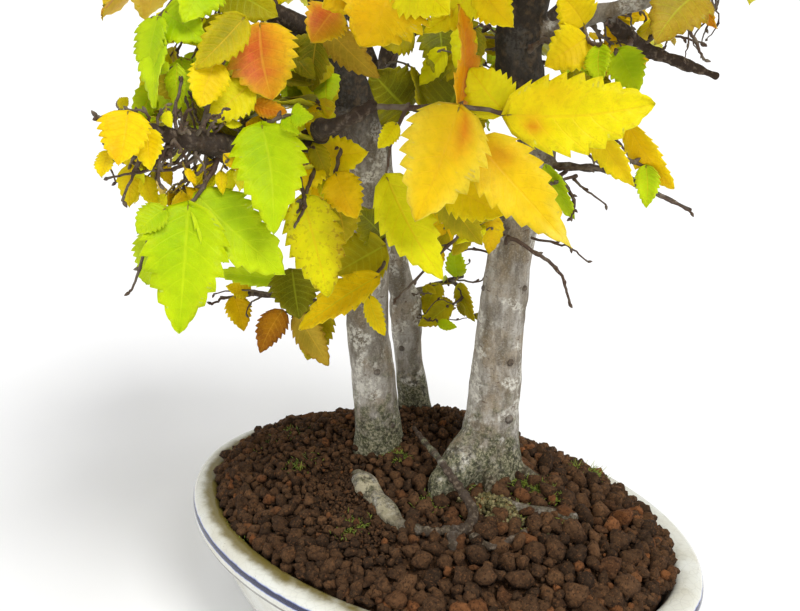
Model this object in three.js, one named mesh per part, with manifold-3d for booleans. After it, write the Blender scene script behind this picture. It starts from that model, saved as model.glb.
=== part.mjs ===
// Japanese zelkova forest bonsai: three small trees in autumn leaf on a mound of clay granules, in a glazed
// oval pot on four feet. Millimetres, +Z up. X runs along the pot's long side, and the origin is on the ground,
// under the middle of the object's box. The trees are laid out in the planting's own frame, which is turned from
// the pot: x to the right, y to the back, z up, with its origin on the ground under the middle of the pot.
import * as THREE from "three";
import { mergeVertices } from "three/addons/utils/BufferGeometryUtils.js";
import Module from "manifold-3d";

const wasm = await Module();
wasm.setup();

// Driving dimensions of the pot.
const POT_LONG = 240;
const POT_WIDE = 162;
const POT_HIGH = 62;
const LIP_WIDE = 12;
const BAND_HIGH = 11;
const FOOT_HIGH = 8;
const FLOOR_THICK = 5;
const WALL_INSET_TOP = 7.5;
const WALL_INSET_FOOT = 22;
const POT_SEGMENTS = 30;
const DRAIN_RADIUS = 7;
const DRAIN_X = 42;

// Driving dimensions of the soil.
const SOIL_GAP = 0.9;
const MOUND_HIGH = 16.5;
const MOUND_POWER = 5;
const BACK_RISE = 2.5;
const CREST_HIGH = 8;
const CREST_AT = [-20, 36];
const CREST_SPREAD = 24;
const GRANULE_RINGS = 12;
const GRANULE_RELIEF = 2.6;

// Driving dimensions of the plants.
const PLANTING_TURN = THREE.MathUtils.degToRad(30.6);
const LEAF_THICK = 0.7;
const LEAF_FOLD = 0.22;
const LEAF_SAG = 0.1;
const TWIG_SIDES = 3;
const TWIG_BASE = 1.1;
const TWIG_TIP = 0.65;
const STALK_THICK = 0.5;
const JOINT_GAP = 0.35;
const NET_THICK = 1.2;

// Degrees by which a leaf may be bent, and a twig turned, to clear its neighbours.
const LEAF_BENDS = [0, 10, -10, 20, -20, 32, -32, 45];
const TWIG_TURNS = [0, 25, -25, 50, -50, 75];

// The front view that the planting was laid out in: an eye looking down at it, and the frame of its picture.
const UP = new THREE.Vector3(0, 0, 1);
const VIEW = { eye: [-13.9, -378, 318.2], pitch: 0.393, focal: 1000, middle: [400, 305.5] };

// A point of the planting in millimetres, turned into the pot's frame.
function at(x, y, z) {
  return new THREE.Vector3(x, y, z).applyAxisAngle(UP, PLANTING_TURN);
}

// A point of the planting that shows at the picture's place (across, down), at the depth y.
function seen(across, down, y) {
  const right = (across - VIEW.middle[0]) / VIEW.focal;
  const up = (VIEW.middle[1] - down) / VIEW.focal;
  const deep = Math.cos(VIEW.pitch) + up * Math.sin(VIEW.pitch);
  const rise = up * Math.cos(VIEW.pitch) - Math.sin(VIEW.pitch);
  const reach = (y - VIEW.eye[1]) / deep;
  return at(VIEW.eye[0] + reach * right, y, VIEW.eye[2] + reach * rise);
}

// Seeded random numbers from 0 to 1.
function randomFrom(seed) {
  let state = seed >>> 0;
  return () => {
    state = (state + 0x6d2b79f5) >>> 0;
    let mixed = Math.imul(state ^ (state >>> 15), 1 | state);
    mixed = (mixed + Math.imul(mixed ^ (mixed >>> 7), 61 | mixed)) ^ mixed;
    return ((mixed ^ (mixed >>> 14)) >>> 0) / 4294967296;
  };
}

// A closed geometry as a solid that can be joined and cut.
function solidOf(geometry) {
  const bare = geometry.index ? geometry.toNonIndexed() : geometry.clone();
  bare.deleteAttribute("normal");
  bare.deleteAttribute("uv");
  const merged = mergeVertices(bare, 1e-3);
  return new wasm.Manifold(
    new wasm.Mesh({
      numProp: 3,
      vertProperties: merged.attributes.position.array,
      triVerts: new Uint32Array(merged.index.array),
    }),
  );
}

// The largest body of a solid; loose scraps that a cut leaves are dropped.
function largestOf(solid) {
  const bodies = solid.decompose();
  const largest = bodies.reduce((best, body) => (body.volume() > best.volume() ? body : best));
  bodies.filter((body) => body !== largest).forEach((body) => body.delete());
  return largest;
}

// A solid's largest body as a geometry.
function geometryOf(solid) {
  const mesh = largestOf(solid).getMesh();
  return new THREE.BufferGeometry()
    .setAttribute("position", new THREE.BufferAttribute(Float32Array.from(mesh.vertProperties), 3))
    .setIndex(new THREE.BufferAttribute(Uint32Array.from(mesh.triVerts), 1));
}

// A closed surface through rings of points that all have the same count, closed by a fan at each end.
function loft(rings) {
  const count = rings[0].length;
  const points = rings.flat();
  const index = [];
  for (let ring = 0; ring + 1 < rings.length; ring++) {
    for (let i = 0; i < count; i++) {
      const next = (i + 1) % count;
      const low = ring * count;
      index.push(low + i, low + next, low + count + next);
      index.push(low + i, low + count + next, low + count + i);
    }
  }
  const top = (rings.length - 1) * count;
  for (let i = 1; i + 1 < count; i++) {
    index.push(0, i + 1, i);
    index.push(top, top + i, top + i + 1);
  }
  return new THREE.BufferGeometry().setFromPoints(points).setIndex(index);
}

// A turned solid drawn out to the pot's oval: its profile is a list of [inset from the outer edge, height],
// and the oval's ends keep the same inset as its sides.
function ovalTurn(profile) {
  const half = POT_WIDE / 2;
  const longer = (POT_LONG - POT_WIDE) / 2;
  const turned = new THREE.LatheGeometry(
    profile.map(([inset, height]) => new THREE.Vector2(half - inset, height)),
    POT_SEGMENTS,
  ).rotateX(Math.PI / 2);
  const place = turned.attributes.position;
  for (let i = 0; i < place.count; i++) {
    const reach = Math.hypot(place.getX(i), place.getY(i));
    const share = Math.min(1, reach / (half / 2));
    const cosine = reach > 0 ? place.getX(i) / reach : 0;
    place.setX(i, place.getX(i) + longer * share * cosine);
  }
  return turned;
}

// The inset of the pot's inner wall at a height.
function innerInset(height) {
  const share = (height - FOOT_HIGH - FLOOR_THICK) / (POT_HIGH - FOOT_HIGH - FLOOR_THICK);
  return THREE.MathUtils.lerp(WALL_INSET_FOOT + 6, LIP_WIDE + 1.5, Math.sqrt(Math.max(0, share)));
}

// Pot: a tapering oval bowl with a band and a rounded lip, four curved feet and two drain holes.
function makePot() {
  const half = POT_WIDE / 2;
  const floor = FOOT_HIGH + FLOOR_THICK;
  const bandLow = POT_HIGH - BAND_HIGH;
  const outside = [
    [half, FOOT_HIGH],
    [WALL_INSET_FOOT + 2, FOOT_HIGH],
    [WALL_INSET_FOOT - 2, FOOT_HIGH + 3],
    [WALL_INSET_FOOT - 8, FOOT_HIGH + 16],
    [WALL_INSET_TOP + 1.5, FOOT_HIGH + 32],
    [WALL_INSET_TOP - 1, bandLow - 0.6],
    [1.2, bandLow],
    [0, bandLow + 2.5],
    [0, POT_HIGH - 3.5],
    [1.3, POT_HIGH - 1],
    [4.5, POT_HIGH],
    [LIP_WIDE - 2, POT_HIGH - 0.3],
    [LIP_WIDE, POT_HIGH - 2],
  ];
  const inside = [POT_HIGH - 10, floor + 12].map((z) => [innerInset(z), z]);
  const bowl = solidOf(ovalTurn([...outside, ...inside, [WALL_INSET_FOOT + 9, floor], [half, floor]]));
  const footRing = solidOf(
    ovalTurn([
      [WALL_INSET_FOOT + 13, FOOT_HIGH + 2],
      [WALL_INSET_FOOT + 11, 0],
      [WALL_INSET_FOOT + 3, 0],
      [WALL_INSET_FOOT, FOOT_HIGH + 2],
      [WALL_INSET_FOOT + 13, FOOT_HIGH + 2],
    ]),
  );
  const channel = FOOT_HIGH * 2;
  const across = solidOf(new THREE.BoxGeometry(POT_LONG * 0.38, POT_WIDE, channel));
  const along = solidOf(new THREE.BoxGeometry(POT_LONG, POT_WIDE * 0.3, channel));
  let pot = bowl.add(footRing.subtract(across).subtract(along));
  for (const side of [-1, 1]) {
    const hole = new THREE.CylinderGeometry(DRAIN_RADIUS, DRAIN_RADIUS, 4 * FLOOR_THICK, 16).rotateX(Math.PI / 2);
    pot = pot.subtract(solidOf(hole.translate(side * DRAIN_X, 0, FOOT_HIGH + FLOOR_THICK / 2)));
  }
  return pot;
}

// Drain net: a square of plastic mesh that lies over a drain hole, under the soil.
function makeDrainNet() {
  const side = DRAIN_RADIUS * 3.2;
  let net = solidOf(new THREE.BoxGeometry(side, side, NET_THICK));
  const cell = side / 4;
  for (const row of [-1, 1]) {
    for (const column of [-1, 1]) {
      const opening = new THREE.BoxGeometry(cell, cell, 3 * NET_THICK);
      net = net.subtract(solidOf(opening.translate(row * cell, column * cell, 0)));
    }
  }
  return net;
}

// The soil's outline stands this far inside the oval of the lip's inner edge.
const SOIL_INSET = LIP_WIDE + 1.5 + SOIL_GAP;

// Height of the mound at a place in the pot's frame: a flat dome with a crest towards the back, whose rim rises
// from the front to the back.
function moundHeight(x, y) {
  const reach = Math.hypot(x / (POT_LONG / 2 - SOIL_INSET), y / (POT_WIDE / 2 - SOIL_INSET));
  const away = ((x - CREST_AT[0]) ** 2 + (y - CREST_AT[1]) ** 2) / (2 * CREST_SPREAD ** 2);
  const edge = Math.max(0, 1 - reach ** MOUND_POWER);
  const rise = (BACK_RISE * y) / (POT_WIDE / 2 - SOIL_INSET);
  return POT_HIGH + rise + MOUND_HIGH * edge + CREST_HIGH * Math.exp(-away) * Math.min(1, edge * 3);
}

// A ring of the soil's disc: 6 points a ring number, evenly round an oval.
function soilRing(ring, share, inset) {
  const count = 6 * ring;
  const long = POT_LONG / 2 - inset;
  const wide = POT_WIDE / 2 - inset;
  return Array.from({ length: count }, (_, i) => {
    const angle = (2 * Math.PI * i) / count;
    return [long * share * Math.cos(angle), wide * share * Math.sin(angle)];
  });
}

// Soil: a mound of baked clay granules. Its top is a disc of rings laid like a honeycomb, in which every cell's
// middle is raised and its corners are lowered, so that each cell is one granule, larger than life.
function makeSoil() {
  const random = randomFrom(7);
  const points = [new THREE.Vector3(0, 0, moundHeight(0, 0) + GRANULE_RELIEF)];
  const index = [];
  const start = [0];
  for (let ring = 1; ring <= GRANULE_RINGS; ring++) {
    start.push(points.length);
    soilRing(ring, ring / GRANULE_RINGS, SOIL_INSET).forEach(([x, y], i) => {
      const side = Math.floor(i / ring);
      const raised = (ring + (i - side * ring) + side * ring) % 3 === 0;
      const inner = ring < GRANULE_RINGS ? 1 : 0;
      const lump = raised ? 0.6 + 0.8 * random() : -0.5 - 0.4 * random();
      const slide = () => (random() - 0.5) * 1.6 * inner;
      const edgeDrop = inner ? 0 : 1.5;
      const height = moundHeight(x, y) + lump * GRANULE_RELIEF * inner - edgeDrop;
      points.push(new THREE.Vector3(x + slide(), y + slide(), height));
    });
    for (let side = 0; side < 6; side++) {
      for (let step = 0; step < ring; step++) {
        const outer = start[ring] + side * ring + step;
        const outerNext = start[ring] + ((side * ring + step + 1) % (6 * ring));
        const wrap = Math.max(1, 6 * (ring - 1));
        const inner = start[ring - 1] + ((side * (ring - 1) + step) % wrap);
        index.push(inner, outer, outerNext);
        if (step < ring - 1) {
          const innerNext = start[ring - 1] + ((side * (ring - 1) + step + 1) % wrap);
          index.push(inner, outerNext, innerNext);
        }
      }
    }
  }
  const floor = FOOT_HIGH + FLOOR_THICK + JOINT_GAP;
  const count = 6 * GRANULE_RINGS;
  let above = start[GRANULE_RINGS];
  for (const height of [POT_HIGH - 10, floor + 12, floor]) {
    const inset = height === floor ? WALL_INSET_FOOT + 10 : innerInset(height - JOINT_GAP);
    const below = points.length;
    soilRing(GRANULE_RINGS, 1, inset + SOIL_GAP).forEach(([x, y]) => points.push(new THREE.Vector3(x, y, height)));
    for (let i = 0; i < count; i++) {
      const next = (i + 1) % count;
      index.push(above + i, below + i, below + next, above + i, below + next, above + next);
    }
    above = below;
  }
  const middle = points.push(new THREE.Vector3(0, 0, floor)) - 1;
  for (let i = 0; i < count; i++) index.push(middle, above + ((i + 1) % count), above + i);
  return solidOf(new THREE.BufferGeometry().setFromPoints(points).setIndex(index));
}

// The point at a height above the mound that shows at the picture's place (across, down).
function seenOnSoil(across, down, lift) {
  const above = (y) => {
    const point = seen(across, down, y);
    return point.z - moundHeight(point.x, point.y) - lift;
  };
  let near = -POT_LONG / 2;
  while (above(near + 2) > 0) near += 2;
  let far = near + 2;
  for (let i = 0; i < 12; i++) {
    const half = (near + far) / 2;
    if (above(half) > 0) near = half;
    else far = half;
  }
  return seen(across, down, near);
}

// Limbs: each is a list of [point, radius] along its middle, from where it grows to its end.
const limbs = {
  leftTrunk: [
    [at(-24, 26, 50), 11.5],
    [seen(379, 452, 26), 10.9],
    [seen(379, 436, 26), 10.3],
    [seen(374, 380, 25), 9.8],
    [seen(367, 315, 24), 9.1],
    [seen(371, 240, 22), 8.5],
    [seen(368, 170, 20), 8.2],
    [seen(352, 105, 16), 8.8],
    [seen(335, 45, 12), 6.8],
    [seen(322, -15, 10), 5.6],
    [at(-50, 8, 320), 4.2],
    [at(-54, 4, 350), 2.4],
    [at(-52, 2, 372), 1.3],
  ],
  leftFront: [
    [seen(354, 120, 17), 4.8],
    [seen(322, 134, -10), 4.4],
    [seen(290, 150, -32), 4.1],
    [seen(250, 149, -50), 3],
    [seen(205, 142, -63), 3.2],
    [seen(165, 134, -72), 2.4],
    [seen(140, 126, -75), 1.6],
  ],
  leftStub: [
    [seen(356, 146, 18), 3],
    [seen(338, 138, -12), 3.6],
    [seen(318, 130, -40), 3.6],
    [seen(345, 121, -50), 2.8],
    [seen(372, 106, -50), 2.1],
  ],
  leftHigh: [
    [seen(337, 50, 12), 4.2],
    [seen(292, 22, -2), 3.4],
    [seen(250, 6, -16), 2.8],
    [seen(205, -14, -30), 2],
    [seen(168, -30, -38), 1.2],
  ],
  leftLow: [
    [seen(362, 300, 24), 2.4],
    [seen(325, 303, 30), 1.9],
    [seen(285, 297, 36), 1.5],
    [seen(240, 292, 40), 1],
  ],
  leftBack: [
    [at(-34, 17, 246), 3.8],
    [at(-56, 36, 266), 3],
    [at(-82, 52, 280), 2.1],
    [at(-106, 58, 288), 1.2],
  ],
  leftTopBack: [
    [at(-48, 9, 308), 2.8],
    [at(-52, 36, 328), 2.1],
    [at(-58, 60, 342), 1.2],
  ],
  leftTopFront: [
    [at(-47, 9, 300), 2.9],
    [at(-62, -18, 320), 2.1],
    [at(-78, -42, 334), 1.2],
  ],
  backTrunk: [
    [at(-5, 60, 52), 8.4],
    [seen(415, 412, 60), 7.7],
    [seen(408, 350, 59), 6.8],
    [seen(406, 305, 58), 7.9],
    [seen(401, 284, 57), 6.1],
    [seen(391, 240, 55), 5.5],
    [seen(383, 190, 53), 5.1],
    [seen(381, 140, 52), 4.7],
    [seen(385, 90, 54), 4.1],
    [seen(392, 40, 58), 3.4],
    [at(-8, 64, 284), 2.8],
    [at(-4, 70, 312), 2],
    [at(0, 72, 338), 1.2],
  ],
  backRight: [
    [seen(383, 120, 53), 2.5],
    [at(6, 70, 250), 2],
    [at(26, 84, 262), 1.2],
  ],
  backLeft: [
    [seen(384, 100, 53), 2.5],
    [at(-34, 76, 266), 2],
    [at(-60, 96, 278), 1.2],
  ],
  backLow: [
    [seen(404, 296, 57), 1.8],
    [seen(436, 285, 70), 1.4],
    [seen(462, 276, 80), 1],
  ],
  rightTrunk: [
    [at(26, 8, 50), 17],
    [seen(486, 474, 8), 15.5],
    [seen(488, 455, 8), 14],
    [seen(491, 430, 8), 12.4],
    [seen(494, 400, 8), 11.3],
    [seen(498, 350, 9), 10.4],
    [seen(504, 300, 10), 9.8],
    [seen(509, 262, 10), 9.4],
    [seen(519, 215, 11), 8.7],
    [seen(533, 168, 12), 7.8],
    [seen(536, 138, 12), 7.9],
    [seen(523, 84, 12), 9.2],
    [seen(520, 40, 12), 9.2],
    [seen(530, 0, 10), 8.4],
    [seen(536, -40, 8), 6.8],
    [at(40, 6, 326), 5.4],
    [at(36, 2, 354), 3.8],
    [at(38, -2, 378), 2.3],
    [at(36, -2, 394), 1.3],
  ],
  rightArm: [
    [seen(526, 36, 12), 4.9],
    [seen(560, 28, 6), 4.3],
    [seen(600, 13, 0), 3.7],
    [seen(640, 2, -6), 3.4],
    [seen(672, -8, -9), 2.4],
    [at(108, -10, 290), 1.3],
  ],
  rightLow: [
    [seen(604, 14, 0), 2.9],
    [seen(640, 46, 6), 2.5],
    [seen(680, 62, 6), 2.1],
    [seen(716, 76, 4), 1.3],
  ],
  rightMid: [
    [seen(534, 164, 12), 2.1],
    [seen(574, 167, 2), 1.6],
    [seen(612, 171, -6), 1.4],
    [seen(650, 190, -12), 1],
    [seen(690, 210, -16), 0.7],
  ],
  rightBack: [
    [at(34, 12, 262), 4.2],
    [at(56, 36, 280), 3.3],
    [at(82, 56, 296), 2.2],
    [at(102, 66, 304), 1.2],
  ],
  rightFront: [
    [at(38, 10, 290), 3.8],
    [at(32, -20, 308), 3],
    [at(26, -50, 320), 2.2],
    [at(22, -76, 326), 1.2],
  ],
  rightTop: [
    [at(38, 5, 326), 3],
    [at(60, -8, 344), 2.2],
    [at(84, -18, 356), 1.2],
  ],
  centreBack: [
    [at(36, 9, 300), 3.3],
    [at(16, 42, 322), 2.4],
    [at(2, 66, 336), 1.2],
  ],
};

// Roots of the right-hand tree: three buttresses that flare into the soil, and the roots that lie on it.
const roots = {
  leftButtress: [
    [at(24, 8, 100), 8],
    [at(14, -2, 90), 8.5],
    [at(6, -9, 82), 7.2],
    [at(0, -15, 74), 4],
  ],
  frontButtress: [
    [at(26, 4, 92), 8],
    [at(25, -9, 83), 3],
    [at(26, -20, 76), 3],
  ],
  rightButtress: [
    [at(28, 8, 92), 8],
    [at(40, 2, 82), 3],
    [at(52, -3, 74), 3.5],
  ],
  barkRoot: [
    [seenOnSoil(355, 474, -3), 3.4],
    [seenOnSoil(366, 486, 1.5), 5.4],
    [seenOnSoil(386, 508, 1), 5],
    [seenOnSoil(408, 526, 1), 4.6],
    [seenOnSoil(436, 538, 1), 4],
    [seenOnSoil(460, 534, 0), 4.4],
    [seenOnSoil(478, 512, -1), 5],
  ],
  crossingRoot: [
    [seen(410, 428, 22), 1.5],
    [seen(419, 440, 14), 2.1],
    [seen(438, 462, -1), 2.5],
    [seenOnSoil(460, 490, 9), 2.7],
    [seenOnSoil(474, 512, 5), 2.7],
    [seenOnSoil(469, 532, 3), 2.5],
    [seenOnSoil(456, 548, 2), 2.6],
    [seenOnSoil(457, 566, -3), 2],
  ],
  knot: [
    [seenOnSoil(484, 506, -1), 5],
    [seenOnSoil(466, 524, 1), 5],
    [seenOnSoil(455, 545, -1), 4],
  ],
  cutRoot: [
    [seenOnSoil(490, 502, 0), 4.5],
    [seenOnSoil(516, 510, 0.5), 3.5],
    [seenOnSoil(546, 513, 1), 3],
    [seenOnSoil(573, 517, 1.5), 2.8],
  ],
  thinRoot: [
    [seenOnSoil(468, 532, 0), 2.6],
    [seenOnSoil(490, 547, 1.5), 1.5],
    [seenOnSoil(512, 539, 1.5), 1.4],
    [seenOnSoil(533, 527, -1), 1.2],
  ],
};

const trees = {
  tree_left: ["leftTrunk", "leftFront", "leftStub", "leftHigh", "leftLow", "leftBack", "leftTopBack", "leftTopFront"],
  tree_back: ["backTrunk", "backRight", "backLeft", "backLow"],
  tree_right: ["rightTrunk", "rightArm", "rightLow", "rightMid", "rightBack", "rightFront", "rightTop", "centreBack"],
};

// A tapered tube through a limb's points, grown all round by a margin. Its rings turn with the limb.
function limbSolid(points, sides, margin = 0) {
  const middle = points.map(([point]) => point);
  const rings = points.map(([point, radius], i) => {
    const ahead = middle[Math.min(i + 1, middle.length - 1)].clone();
    const along = ahead.sub(middle[Math.max(i - 1, 0)]).normalize();
    const across = new THREE.Vector3(0.3, 1, 0.2).cross(along).normalize();
    const over = along.clone().cross(across);
    const end = i === 0 || i === middle.length - 1 ? margin : 0;
    const centre = point.clone().addScaledVector(along, i === 0 ? -end : end);
    return Array.from({ length: sides }, (_, k) => {
      const angle = (2 * Math.PI * k) / sides;
      return centre
        .clone()
        .addScaledVector(across, (radius + margin) * Math.cos(angle))
        .addScaledVector(over, (radius + margin) * Math.sin(angle));
    });
  });
  return solidOf(loft(rings));
}

// A tree's wood, or with a margin the room that its neighbours keep clear of.
function treeSolid(name, margin = 0) {
  const parts = trees[name].map((limb) => {
    const radius = limbs[limb][0][1];
    return limbSolid(limbs[limb], radius > 6 ? 9 : radius > 3 ? 6 : 5, margin);
  });
  if (name === "tree_right") {
    for (const root of Object.values(roots)) parts.push(limbSolid(root, root[0][1] > 6 ? 7 : 5, margin));
  }
  return wasm.Manifold.union(parts);
}

// A point on a limb's middle, at a place counted in the limb's points.
function onLimb(name, place) {
  const points = limbs[name];
  const low = Math.min(Math.floor(place), points.length - 2);
  return points[low][0].clone().lerp(points[low + 1][0], place - low);
}

// Half of a leaf's outline, from its stalk to its tip: [share of the length, share of the width].
const LEAF_EDGE = [
  [0.12, 0.32],
  [0.38, 0.5],
  [0.44, 0.38],
  [0.7, 0.31],
];

// Leaf: a saw-edged blade that starts at a single point, is folded a little along its rib and sags towards its tip.
// Its outline fans out from the rib's middle, alike on both faces.
function leafSolid({ base, tip, wide, face }) {
  const long = tip.distanceTo(base);
  const along = tip.clone().sub(base).normalize();
  const side = along.clone().cross(face).normalize();
  const out = side.clone().cross(along).normalize();
  const place = ([share, width], lift) =>
    base
      .clone()
      .addScaledVector(along, share * long)
      .addScaledVector(side, width * wide)
      .addScaledVector(out, Math.abs(width) * wide * LEAF_FOLD + LEAF_SAG * long * share * (1 - share) + lift);
  const mirrored = LEAF_EDGE.map(([share, width]) => [share, -width]).reverse();
  const edge = [...LEAF_EDGE, [1, 0], ...mirrored];
  const blade = [[0.5, 0], ...edge];
  const half = LEAF_THICK / 2;
  const points = [...blade.map((p) => place(p, half)), ...blade.map((p) => place(p, -half)), base];
  const under = blade.length;
  const root = 2 * under;
  const last = under - 1;
  const index = [0, root, 1, 0, last, root, under, under + 1, root, under, root, under + last];
  index.push(1, root, under + 1, last, under + last, root);
  for (let a = 1; a < last; a++) {
    const b = a + 1;
    index.push(0, a, b, under, under + b, under + a);
    index.push(a, under + a, under + b, a, under + b, b);
  }
  return solidOf(new THREE.BufferGeometry().setFromPoints(points).setIndex(index));
}

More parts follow.
